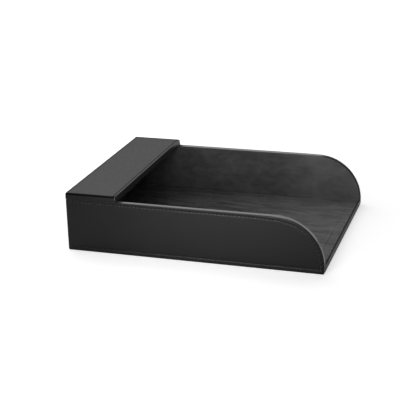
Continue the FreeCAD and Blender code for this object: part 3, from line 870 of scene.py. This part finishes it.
def edge_rows(outline, inwards, sizes):
    """A side cover's rounded outer edge, as rows of points."""
    for angle in EDGE_ANGLES:
        turned = math.radians(angle)
        share = angle / 90
        row = []
        for index, place in enumerate(outline):
            across = edge_radius(index, place, sizes.rim_round, sizes) * (1 - math.cos(turned))
            down = edge_radius(index, place, sizes.rim_drop, sizes) * (1 - math.sin(turned))
            down += pleat(index, place) * share
            level = smooth_step(angle, 70, 90) * burnish(place, 0.0)
            row.append((place + inwards[index] * down, FACE_DEPTH * (1 - share) + across, level))
        yield row


def rim_rows(outline, inwards, width):
    """The flat of a side cover's rim, as rows of points."""
    for share in RIM_SHARES:
        row = []
        for index, place in enumerate(outline):
            down = pleat(index, place) * (1 - share)
            row.append((place + inwards[index] * down, width * share, burnish(place, share)))
        yield row


def lip_rows(outline, inwards, width, sizes):
    """A side cover's rounded inner edge and its lip behind the lining, as rows of points."""
    for angle in LIP_ANGLES:
        turned = math.radians(angle)
        row = []
        for index, place in enumerate(outline):
            radius = edge_radius(index, place, sizes.lip_round, sizes)
            down = radius * (1 - math.sin(turned))
            depth = width - radius * (1 - math.cos(turned))
            row.append((place + inwards[index] * down, depth, smooth_step(angle, 10, 50)))
        yield row
    for down in (0.9 * MM, RIM_LIP):
        yield [(place + inwards[i] * down, width - 0.25 * MM, 0.0) for i, place in enumerate(outline)]


def side_cover(side, material, sizes):
    """The leather sleeve of one side wall: outer face, wrapped edges and the lip inside the rim."""
    outline = wall_ring(0.0, sizes.corner_round)
    inwards = inward_normals(outline)
    width = WALL - sizes.lip_back
    outer = [*face_rows(side, sizes), *edge_rows(outline, inwards, sizes), *rim_rows(outline, inwards, width)]
    inner = [*lip_rows(outline, inwards, width, sizes)]

    # The foot and the back edge stay square inside, where they meet the turn-in and the back cover
    square = [(place, WALL, 0.0) for place in outline]
    vertices = []
    polish = []
    for row in (*outer, *inner, square):
        for index, (place, depth, level) in enumerate(row):
            vertices.append(Vector((side * (-OUTER_X - depth), place.x, place.y)))
            polish.append(worn_polish(side, index, outline[index], level))

    size = len(outline)
    last_outer = (len(outer) - 1) * size
    last_inner = last_outer + len(inner) * size
    faces = [list(range(size))]
    for first in range(0, last_outer, size):
        faces += strip_faces(first, first + size, size)
    for first in range(last_outer, last_inner, size):
        faces += strip_faces(first, first + size, size, range(RIM_START, RIM_END))
    elsewhere = [*range(RIM_START), *range(RIM_END, size)]
    faces += strip_faces(last_outer, last_inner + size, size, elsewhere)

    across = sorted((side * -INNER_X, side * -SIDE_HIGH.x))
    low = Vector((across[0], FELT_LOW.y - FELT_GAP, SIDE_LOW.z))
    high = Vector((across[1], FELT_HIGH.y + FELT_GAP, SIDE_LOW.z + LEATHER))
    turn_in, turn_in_faces = slab(low, high, 0.2 * MM, (20 * MM, 20 * MM, 20 * MM))
    faces += [[number + len(vertices) for number in face] for face in turn_in_faces]
    vertices += turn_in
    name = SIDE_NAMES[side]
    add_piece(f"{name}_side_cover", vertices, faces, material, "leather", [f"{name}_side_leather"], polish)


def lining_column(place, outward, sizes):
    """The section of a side wall's lining below one point of its rim, as (depth, y, z) points.

    place is the rim's point, outward the way out of the wall there. Depth is measured into the wall
    from the lining's face.
    """
    section = []
    for inset, depth in LINING_EDGE:
        edge = place - outward * inset * MM
        section.append((depth * MM, edge.x, max(edge.y, BAND_HIGH.z)))
    y, top = section[-1][1:]
    height = top - BAND_HIGH.z
    cove = min(sizes.cove, 0.4 * height)
    rows = 14
    for row in range(1, rows + 1):
        section.append((0.0, y, top - (height - cove) * row / rows))
    for angle in (18, 36, 54, 72, 90):
        turned = math.radians(angle)
        section.append((-cove * (1 - math.cos(turned)), y, BAND_HIGH.z + cove * (1 - math.sin(turned))))
    section.append((LEATHER, y, BAND_HIGH.z))
    return section


def side_lining(side, material, sizes):
    """A side wall's lining: it laps over the leather's lip and runs out on to the base in a cove."""
    centre = Vector((BEND, SIDE_HIGH.z - CORNER_RADIUS))
    lowest = 179.4
    arc_steps = 60
    sections = []
    for step in range(arc_steps):
        angle = math.radians(blend(lowest, 90, step / arc_steps))
        outward = Vector((math.cos(angle), math.sin(angle)))
        sections.append(lining_column(centre + outward * CORNER_RADIUS, outward, sizes))
    run = BACK_LINING_FRONT - BEND
    steps = round(run / (4 * MM))
    for step in range(steps + 1):
        place = Vector((BEND + run * step / steps, SIDE_HIGH.z))
        sections.append(lining_column(place, Vector((0, 1)), sizes))
    vertices = []
    for section in sections:
        for depth, y, z in section:
            wave = rough_height((side, y, z), 2 * sizes.unevenness, 5.0 + side) if depth == 0 else 0.0
            vertices.append(Vector((side * (-INNER_X + depth + wave), y, z)))
    faces = tube_faces(len(sections[0]), len(sections))
    name = SIDE_NAMES[side]
    add_piece(f"{name}_lining", vertices, faces, material, "lining", [f"{name}_side_lining"])


# Ledge


def end_roll(rise, sizes):
    """How far in the ledge's ends lie at a share of its height."""
    return sizes.end_lean * (1 - math.sqrt(1 - rise**2))


def ledge_polish(vertex, line, sizes):
    """The polish of the ledge's leather at a place on its plain block.

    Its front edge, its ends and its front corners are burnished. Its groove and back edge are dull.
    """
    to_end = LEDGE_HIGH.x - abs(vertex.x)
    to_front = vertex.y - LEDGE_LOW.y
    on_top = smooth_step(vertex.z, LEDGE_HIGH.z - sizes.ledge_edge, LEDGE_HIGH.z - 0.1 * MM)
    level = 0.5 - 0.5 * smooth_step(to_front, 0.0, 0.6 * MM)
    level += on_top * 0.55 * (1 - smooth_step(to_end, 0.8 * MM, 2.8 * MM))
    level -= on_top * smooth_step(vertex.y, LEDGE_HIGH.y - 1.4 * MM, LEDGE_HIGH.y - 0.6 * MM)
    corner = 1 - smooth_step(to_end, 0.8 * MM, 1.6 * MM)
    corner *= 1 - smooth_step(to_front, 0.8 * MM, 1.6 * MM)
    level += corner * smooth_step(vertex.z, LEDGE_HIGH.z - 4 * MM, LEDGE_HIGH.z - 2 * MM)
    if to_end > sizes.stitch_inset - 1 * MM:
        level -= on_top * bell(vertex.y - line, 0.6 * MM)
    return clamp(level, -1.0)


def shape_ledge(vertex, line, sizes):
    """Move a place on the ledge's plain block to where its leather lies."""
    rise = clamp((vertex.z - LEDGE_LOW.z) / (LEDGE_HIGH.z - LEDGE_LOW.z))
    at_end = 1 - smooth_step(LEDGE_HIGH.x - abs(vertex.x), 0.0, 9 * MM)
    in_front = 1 - smooth_step(vertex.y - LEDGE_LOW.y, 0.0, 3 * MM)
    vertex.x -= math.copysign(end_roll(rise, sizes) * at_end, vertex.x)
    ripple = 0.1 * MM * (1 + noise.noise(Vector((vertex.x * 90, 4.0, vertex.z * 160))))
    vertex.y += in_front * (sizes.front_lean * rise + ripple * (1 - rise**4))
    if vertex.z > LEDGE_HIGH.z - 0.01 * MM:
        pitch = sizes.stitch_pitch
        length = LEDGE_HIGH.x - LEDGE_LOW.x - 2 * sizes.stitch_inset
        stitches = round(length / pitch)
        along = (vertex.x - LEDGE_LOW.x - sizes.stitch_inset) / length * stitches
        if -0.2 < along < stitches + 0.2:
            vertex.z -= channel(vertex.y - line, along * pitch, pitch, sizes.ledge_groove, 0.45 * MM)
        vertex.z -= 0.06 * MM + rough_height(vertex, sizes.unevenness, 9.0)


def over_lining(face, vertices):
    """Whether a face of the ledge's cover lies on its lining, where there is no leather."""
    middle = sum((vertices[number] for number in face), Vector()) / len(face)
    slack = 0.2 * MM
    return (
        abs(middle.x) < LEDGE_LINING_HIGH.x + slack
        and LEDGE_LINING_LOW.y - slack < middle.y < LEDGE_LINING_HIGH.y + slack
        and middle.z < LEDGE_LOW.z + 0.1 * MM
    )


def paint_edges(sizes, paint):
    """Lay a line of edge paint along the ledge's ends and its back."""
    thickness = LEDGE_HIGH.z - LEDGE_LOW.z
    proud, sunk, inset = 0.06 * MM, 0.4 * MM, 0.3 * MM
    section = []
    for drop in (2.0, 1.7, 1.4, 1.1, 0.8, 0.5, 0.25, 0.1):
        roll = end_roll(1 - drop * MM / thickness, sizes)
        section.append((LEDGE_HIGH.x - roll + proud, LEDGE_HIGH.z - drop * MM))
    edge, top = LEDGE_HIGH.x - sizes.end_lean, LEDGE_HIGH.z
    border = edge - 2.2 * MM
    section += [(edge, top), (border, top), (border, top - sunk), (edge - inset, top - sunk)]
    section.append((section[0][0] - sunk, section[0][1]))
    vertices, faces = swept(section, LEDGE_LOW.y + 1.2 * MM, LEDGE_HIGH.y - inset, 3 * MM)
    for side, name in SIDE_NAMES.items():
        turned = [Vector((side * place.y, place.x, place.z)) for place in vertices]
        add_piece(f"{name}_edge_paint", turned, faces, paint, "leather")
    back, low = LEDGE_HIGH.y, top - 1.6 * MM
    section = [(back - inset, low), (back, low), (back, top - inset), (back - inset, top)]
    section += [(back - 1.4 * MM, top), (back - 1.4 * MM, top - inset)]
    vertices, faces = swept(section, -edge + inset, edge - inset, 3 * MM)
    add_piece("back_edge_paint", vertices, faces, paint, "leather")


# Stitching


def stitch_rows(name, rows, up, material, sizes):
    """Threads between needle holes, as one piece.

    rows holds for each row how far the middle of a stitch rises above its ends, and its holes. up is
    the way out of the leather.
    """
    rings, sides = 9, 8
    sunk = 0.5 * MM
    vertices, faces, turns = [], [], []
    shaker = random.Random(len(name) * 7 + 3)
    for reach, holes in rows:
        for start, end in zip(holes, holes[1:]):
            along = (end - start).normalized()
            start = start + along * sizes.stitch_gap
            end = end - along * sizes.stitch_gap
            side = along.cross(up)
            slant = shaker.uniform(-0.05, 0.05) * MM
            faces += tube_faces(sides, rings, len(vertices))
            for ring in range(rings):
                share = ring / (rings - 1)
                bow = math.sin(math.pi * share) ** 0.55
                centre = start.lerp(end, share) + up * (bow * reach - sunk) + side * slant * (share - 0.5)
                radius = sizes.thread_radius * (0.62 + 0.38 * bow)
                for step in range(sides):
                    angle = 2 * math.pi * step / sides
                    offset = up * math.cos(angle) * radius * 0.85 + side * math.sin(angle) * radius
                    vertices.append(centre + offset)
                    turns.append((share * 5.0, step / sides * 3.0))
    mesh = new_mesh(name, vertices, faces)
    layer = mesh.uv_layers.new(name="Twist")
    for loop in mesh.loops:
        layer.data[loop.index].uv = turns[loop.vertex_index]
    place_piece(name, mesh, material, "leather")


def sew_sides(sizes, thread):
    """The rows along the side walls' feet and rims."""
    foot, front, rim = wall_runs(sizes.stitch_inset, sizes.corner_round)[:3]
    rows = []
    for reach, run, steps in ((-0.05 * MM, foot, 80), (0.5 * MM, front + rim[1:], 120)):
        shifted = [(place.x, place.y + row_shift(place.x, place.y)) for place in resample(run, steps)]
        rows.append((reach, needle_holes(shifted, sizes.stitch_pitch)))
    for side, name in SIDE_NAMES.items():
        placed = []
        for reach, holes in rows:
            placed.append((reach, [Vector((side * -OUTER_X, hole.x, hole.y)) for hole in holes]))
        stitch_rows(f"{name}_side_stitching", placed, Vector((side, 0, 0)), thread, sizes)


def sew_ledge(sizes, thread):
    """The row in the groove behind the ledge's front edge."""
    line = LEDGE_LOW.y + sizes.ledge_inset
    end = LEDGE_HIGH.x - sizes.stitch_inset
    holes = needle_holes([(-end, line), (end, line)], sizes.stitch_pitch)
    holes = [Vector((hole.x, hole.y, LEDGE_HIGH.z)) for hole in holes]
    stitch_rows("ledge_stitching", [(-0.45 * MM, holes)], Vector((0, 0, 1)), thread, sizes)


def sew_back(sizes, thread):
    """The four rows round the back wall's panel."""
    inset = sizes.stitch_inset
    left, right = BACK_LOW.x + inset, BACK_HIGH.x - inset
    foot, top = BACK_LOW.z + inset, BACK_HIGH.z - inset
    corners = [(left, foot), (right, foot), (right, top), (left, top), (left, foot)]
    rows = []
    for ends in zip(corners, corners[1:]):
        holes = needle_holes(ends, sizes.stitch_pitch)
        rows.append((0.52 * MM, [Vector((hole.x, BACK_HIGH.y, hole.y)) for hole in holes]))
    stitch_rows("back_stitching", rows, Vector((0, 1, 0)), thread, sizes)


# Operators


class TRAY_OT_side_covers(bpy.types.Operator):
    """Wrap the two side walls in leather"""

    bl_idname = "tray.side_covers"
    bl_label = "Side covers"

    def execute(self, context):
        """Build both sleeves."""
        for side in SIDE_NAMES:
            side_cover(side, cover_leather(context), context.scene.tray_sizes)
        return {"FINISHED"}


class TRAY_OT_ledge_cover(bpy.types.Operator):
    """Wrap the ledge in leather, with a stitched groove behind its front edge"""

    bl_idname = "tray.ledge_cover"
    bl_label = "Ledge cover"

    def execute(self, context):
        """Build the ledge's cover and paint its cut edges."""
        sizes = context.scene.tray_sizes
        line = LEDGE_LOW.y + sizes.ledge_inset
        cuts = [line + step * MM for step in (-2.2, -1.4, -0.9, -0.6, -0.3, 0, 0.3, 0.6, 0.9, 1.4, 2.2)]
        spacing = (1.27 * MM, 3 * MM, 0.8 * MM)
        block = slab(LEDGE_LOW, LEDGE_HIGH, sizes.ledge_edge, spacing, sizes.pressed_edge, cuts)
        vertices, faces = block
        polish = [ledge_polish(vertex, line, sizes) for vertex in vertices]
        for vertex in vertices:
            shape_ledge(vertex, line, sizes)
        faces = [face for face in faces if not over_lining(face, vertices)]
        nodes = ["ledge_leather"]
        add_piece("ledge_cover", vertices, faces, cover_leather(context), "leather", nodes, polish)
        colour = tuple(context.scene.tray_colours.leather)
        paint_edges(sizes, edge_paint_material("Edge paint", colour))
        return {"FINISHED"}


class TRAY_OT_back_cover(bpy.types.Operator):
    """Cover the back wall between the two side covers"""

    bl_idname = "tray.back_cover"
    bl_label = "Back cover"

    def execute(self, context):
        """Build the back cover with its lip and turn-in."""
        sizes = context.scene.tray_sizes
        foot, top = BACK_LOW.z, BACK_HIGH.z
        outer = BACK_HIGH.y
        inner = outer - WALL
        profile = rounded_profile(
            [
                (BACK_LOW.y, foot, 0.3 * MM),
                (outer, foot, sizes.corner_round),
                (outer, top, sizes.pressed_edge),
                (inner, top, sizes.pressed_edge),
                (inner, top - RIM_LIP, 0.2 * MM),
                (inner + LEATHER, top - RIM_LIP, 0.0),
                (inner + LEATHER, top - LEATHER, 0.0),
                (outer - LEATHER, top - LEATHER, 0.0),
                (outer - LEATHER, foot + LEATHER, 0.0),
                (BACK_LOW.y, foot + LEATHER, 0.2 * MM),
            ]
        )
        edge = BACK_HIGH.x - 0.1 * MM
        vertices, faces = swept(profile, -edge, edge, 4 * MM)
        add_piece("back_cover", vertices, faces, cover_leather(context), "leather", ["back_leather"])
        return {"FINISHED"}


class TRAY_OT_front_band(bpy.types.Operator):
    """Wrap the base's front edge"""

    bl_idname = "tray.front_band"
    bl_label = "Front band"

    def execute(self, context):
        """Build the band, and the lined strip on top of its turn-in."""
        sizes = context.scene.tray_sizes
        front, foot, top = BAND_LOW.y, BAND_LOW.z, BAND_HIGH.z
        under = FELT_LOW.y - FELT_GAP
        margin = front + sizes.front_margin
        profile = rounded_profile(
            [
                (front, foot, sizes.edge_round),
                (under, foot, 0.2 * MM),
                (under, foot + LEATHER, 0.0),
                (front + LEATHER, foot + LEATHER, 0.0),
                (front + LEATHER, top - 1.5 * MM, 0.0),
                (margin + 0.5 * MM, top - 1.5 * MM, 0.0),
                (margin + 0.5 * MM, top - LEATHER, 0.0),
                (front + 0.9 * MM, top - LEATHER, 0.2 * MM),
                (front + 0.8 * MM, top, 0.3 * MM),
                (front, top, 0.35 * MM),
            ]
        )
        edge = BAND_HIGH.x - 0.05 * MM
        vertices, faces = swept(profile, -edge, edge, 3 * MM)
        polish = [0.6 - 0.6 * smooth_step(vertex.y, front, front + 0.4 * MM) for vertex in vertices]
        nodes = ["front_edge_leather"]
        add_piece("front_band", vertices, faces, cover_leather(context), "leather", nodes, polish)
        low = Vector((-edge, margin, top - LEATHER))
        strip = slab(low, Vector((edge, BAND_HIGH.y, top)), SHEET_ROUND, SHEET_SPACING)
        add_piece("front_strip", *strip, flat_lining(context.scene.tray_colours), "lining")
        return {"FINISHED"}


class TRAY_OT_stitching(bpy.types.Operator):
    """Sew the top stitching of the covers"""

    bl_idname = "tray.stitching"
    bl_label = "Stitching"

    def execute(self, context):
        """Lay every row of stitches."""
        sizes = context.scene.tray_sizes
        colour = tuple(context.scene.tray_colours.thread)
        pale = thread_material("Sewing thread", colour)
        # Painted shade: the ledge's stitches use a copy of the same thread, painted five times darker for the
        # shade of the groove they lie in
        dark = thread_material("Dark sewing thread", tuple(part * 0.2 for part in colour))
        sew_sides(sizes, pale)
        sew_ledge(sizes, dark)
        sew_back(sizes, pale)
        return {"FINISHED"}


class TRAY_OT_linings(bpy.types.Operator):
    """Give the linings and the felt their nap"""

    bl_idname = "tray.linings"
    bl_label = "Linings"

    def execute(self, context):
        """Lay the linings and assign the napped materials."""
        colours = context.scene.tray_colours
        sizes = context.scene.tray_sizes
        level = flat_lining(colours)
        # Painted light: the walls' lining is the same cloth as the flat lining, painted a third lighter
        # because more light falls on the upright walls
        wall_lining_painted_lit = tuple(part * 1.34 for part in colours.lining)
        upright = nap_material("Lining on the walls", wall_lining_painted_lit, (55.0, 34.0, 70.0), 0.36, PAINTED_LIGHT_SPAN)
        felt = nap_material("Felt", tuple(colours.felt), (150.0, 150.0, 150.0), 0.15)
        for side in SIDE_NAMES:
            side_lining(side, upright, sizes)
        vertices, faces = slab(BASE_LINING_LOW, BASE_LINING_HIGH, SHEET_ROUND, SHEET_SPACING)
        for vertex in vertices:
            if vertex.z > BASE_LINING_HIGH.z - 0.01 * MM:
                vertex.z -= 2 * sizes.unevenness + rough_height(vertex, 2 * sizes.unevenness, 2.0)
        add_piece("base_sheet", vertices, faces, level, "lining", ["base_lining"])
        finishes = {"ledge_lining": level, "back_lining": upright, "bottom_felt": felt}
        for node, material in finishes.items():
            give_material(node, material)
        return {"FINISHED"}


class TRAY_OT_hidden_parts(bpy.types.Operator):
    """Finish the boards and their fastenings, which the covers hide"""

    bl_idname = "tray.hidden_parts"
    bl_label = "Hidden parts"

    def execute(self, context):
        """Assign the materials of what is inside."""
        board = tuple(context.scene.tray_colours.board)
        fibreboard = board_material("Fibreboard", board, (300.0, 300.0, 300.0))
        hardwood = board_material("Dowel wood", (0.62, 0.48, 0.31), (400.0, 400.0, 30.0))
        steel = steel_material("Brad steel", (0.55, 0.55, 0.56))
        for node in ("base_board", "left_side_board", "right_side_board", "back_board", "ledge_board"):
            give_material(node, fibreboard)
        for node in ("base_side_brads", "back_side_brads", "back_foot_brads"):
            give_material(node, steel)
        give_material("ledge_dowels", hardwood)
        return {"FINISHED"}


class TRAY_OT_stage(bpy.types.Operator):
    """Set up the floor, the lights, the surroundings and the camera"""

    bl_idname = "tray.stage"
    bl_label = "Stage"

    def execute(self, context):
        """Build the studio."""
        scene = context.scene
        studio = scene.tray_studio
        scene.view_settings.view_transform = "Standard"
        make_floor(tuple(scene.tray_colours.floor), studio.floor_glow)
        make_backdrop(scene, studio.backdrop)
        make_softbox("window", (178, 33), 1.5, (1.5, 1.2), studio.window)
        make_softbox("top", (120, 58), 1.3, (1.0, 1.0), studio.top)
        make_softbox("fill", (-70, 50), 1.0, (0.7, 0.7), studio.fill)
        wall = Vector((OUTER_X, -25 * MM, 62 * MM))
        make_softbox("near", (-97, 13), 0.33, (0.25, 0.15), studio.near, wall, math.radians(80))
        make_camera(scene, studio)
        return {"FINISHED"}


# Studio


def make_floor(colour, glow_level):
    """A pale floor that keeps the tray's shadow and, further off, reads as white to the camera."""
    size = 7.0
    near_by, far_off = 0.2, 1.0
    corners = [(-size, -size, 0), (size, -size, 0), (size, size, 0), (-size, size, 0)]
    mesh = new_mesh("floor", corners, [(0, 1, 2, 3)])
    floor = bpy.data.objects.new("floor", mesh)
    bpy.context.scene.collection.objects.link(floor)
    material, tree, shader, place = new_material("Studio floor", colour)
    feed(tree, shader, {"Base Color": (*colour, 1.0), "Roughness": 0.9, "Specular IOR Level": 0.1})
    level = remap(tree, vector_maths(tree, "LENGTH", place), near_by, far_off, glow_level, 1.0)
    seen = tree.nodes.new("ShaderNodeLightPath").outputs["Is Camera Ray"]
    glow = add_node(tree, "ShaderNodeEmission", {"Strength": maths(tree, "MULTIPLY", seen, level)})
    parts = {0: shader.outputs["BSDF"], 1: glow.outputs["Emission"]}
    both = add_node(tree, "ShaderNodeAddShader", parts).outputs["Shader"]
    feed(tree, find_node(tree, "OUTPUT_MATERIAL"), {"Surface": both})
    mesh.materials.append(material)


def towards(azimuth, elevation):
    """The direction at an azimuth from the open front and an elevation, in radians."""
    level = math.cos(elevation)
    return Vector((math.sin(azimuth) * level, -math.cos(azimuth) * level, math.sin(elevation)))


def make_backdrop(scene, strength):
    """White for the camera, and for the tray a white backdrop low on the far side only."""
    world = bpy.data.worlds.new("Studio")
    scene.world = world
    world.use_nodes = True
    tree = world.node_tree
    place = tree.nodes.new("ShaderNodeTexCoord").outputs["Generated"]
    facing = vector_maths(tree, "DOT_PRODUCT", place, towards(math.radians(108), 0.0))
    height = add_node(tree, "ShaderNodeSeparateXYZ", {0: place}).outputs["Z"]
    across = remap(tree, facing, 0.1, 0.6, 0.0, 1.0)
    low = remap(tree, height, 0.45, 0.85, 1.0, 0.0)
    glow = maths(tree, "MULTIPLY", maths(tree, "MULTIPLY", across, low), strength)
    seen = tree.nodes.new("ShaderNodeLightPath").outputs["Is Camera Ray"]
    inputs = {"Color": (1.0, 1.0, 1.0, 1.0), "Strength": remap(tree, seen, 0.0, 1.0, glow, 1.0)}
    feed(tree, find_node(tree, "BACKGROUND"), inputs)


def make_softbox(name, direction, distance, size, power, aim=Vector(), spread=math.pi):
    """A rectangular area light that looks at its aim from a direction, in degrees."""
    light = bpy.data.lights.new(name, "AREA")
    light.shape = "RECTANGLE"
    light.size, light.size_y = size
    light.energy = power
    light.spread = spread
    lamp = bpy.data.objects.new(name, light)
    bpy.context.scene.collection.objects.link(lamp)
    away = towards(math.radians(direction[0]), math.radians(direction[1]))
    lamp.location = aim + away * distance
    lamp.rotation_euler = away.to_track_quat("Z", "Y").to_euler()
    lamp.visible_camera = False


def make_camera(scene, studio):
    """The camera at the photograph's angle."""
    back = towards(studio.azimuth, studio.elevation)
    right = (-back).cross(Vector((0, 0, 1))).normalized()
    up = right.cross(-back)
    cosine, sine = math.cos(studio.roll), math.sin(studio.roll)
    right, up = right * cosine + up * sine, up * cosine - right * sine
    camera = bpy.data.objects.new("camera", bpy.data.cameras.new("camera"))
    scene.collection.objects.link(camera)
    turned = Matrix((right, up, back)).transposed().to_4x4()
    camera.matrix_world = Matrix.Translation(Vector(studio.target) + back * studio.distance) @ turned
    camera.data.lens = studio.lens
    camera.data.sensor_width = 36.0
    camera.data.clip_end = 30.0
    scene.camera = camera


class TRAY_PT_panel(bpy.types.Panel):
    """Every step of dressing the tray, in order"""

    bl_label = "Letter tray"
    bl_space_type = "VIEW_3D"
    bl_region_type = "UI"
    bl_category = "Tray"

    def draw(self, context):
        """List the sizes, the colours, the studio's settings and the steps."""
        scene = context.scene
        for group in (scene.tray_sizes, scene.tray_colours, scene.tray_studio):
            column = self.layout.column(align=True)
            for key in group.__annotations__:
                column.prop(group, key)
        for step in STEPS:
            self.layout.operator(step.bl_idname)


STEPS = (
    TRAY_OT_side_covers,
    TRAY_OT_ledge_cover,
    TRAY_OT_back_cover,
    TRAY_OT_front_band,
    TRAY_OT_stitching,
    TRAY_OT_linings,
    TRAY_OT_hidden_parts,
    TRAY_OT_stage,
)
CLASSES = (TraySizes, TrayColours, TrayStudio, *STEPS, TRAY_PT_panel)


def register():
    """Make the classes and the scene's settings known."""
    for item in CLASSES:
        bpy.utils.register_class(item)
    bpy.types.Scene.tray_sizes = bpy.props.PointerProperty(type=TraySizes)
    bpy.types.Scene.tray_colours = bpy.props.PointerProperty(type=TrayColours)
    bpy.types.Scene.tray_studio = bpy.props.PointerProperty(type=TrayStudio)


def unregister():
    """Forget them again."""
    del bpy.types.Scene.tray_studio
    del bpy.types.Scene.tray_colours
    del bpy.types.Scene.tray_sizes
    for item in reversed(CLASSES):
        bpy.utils.unregister_class(item)


def main():
    """Dress the tray."""
    register()
    bpy.ops.tray.side_covers()
    bpy.ops.tray.ledge_cover()
    bpy.ops.tray.back_cover()
    bpy.ops.tray.front_band()
    bpy.ops.tray.stitching()
    bpy.ops.tray.linings()
    bpy.ops.tray.hidden_parts()
    bpy.ops.tray.stage()


if __name__ == "__main__":
    main()
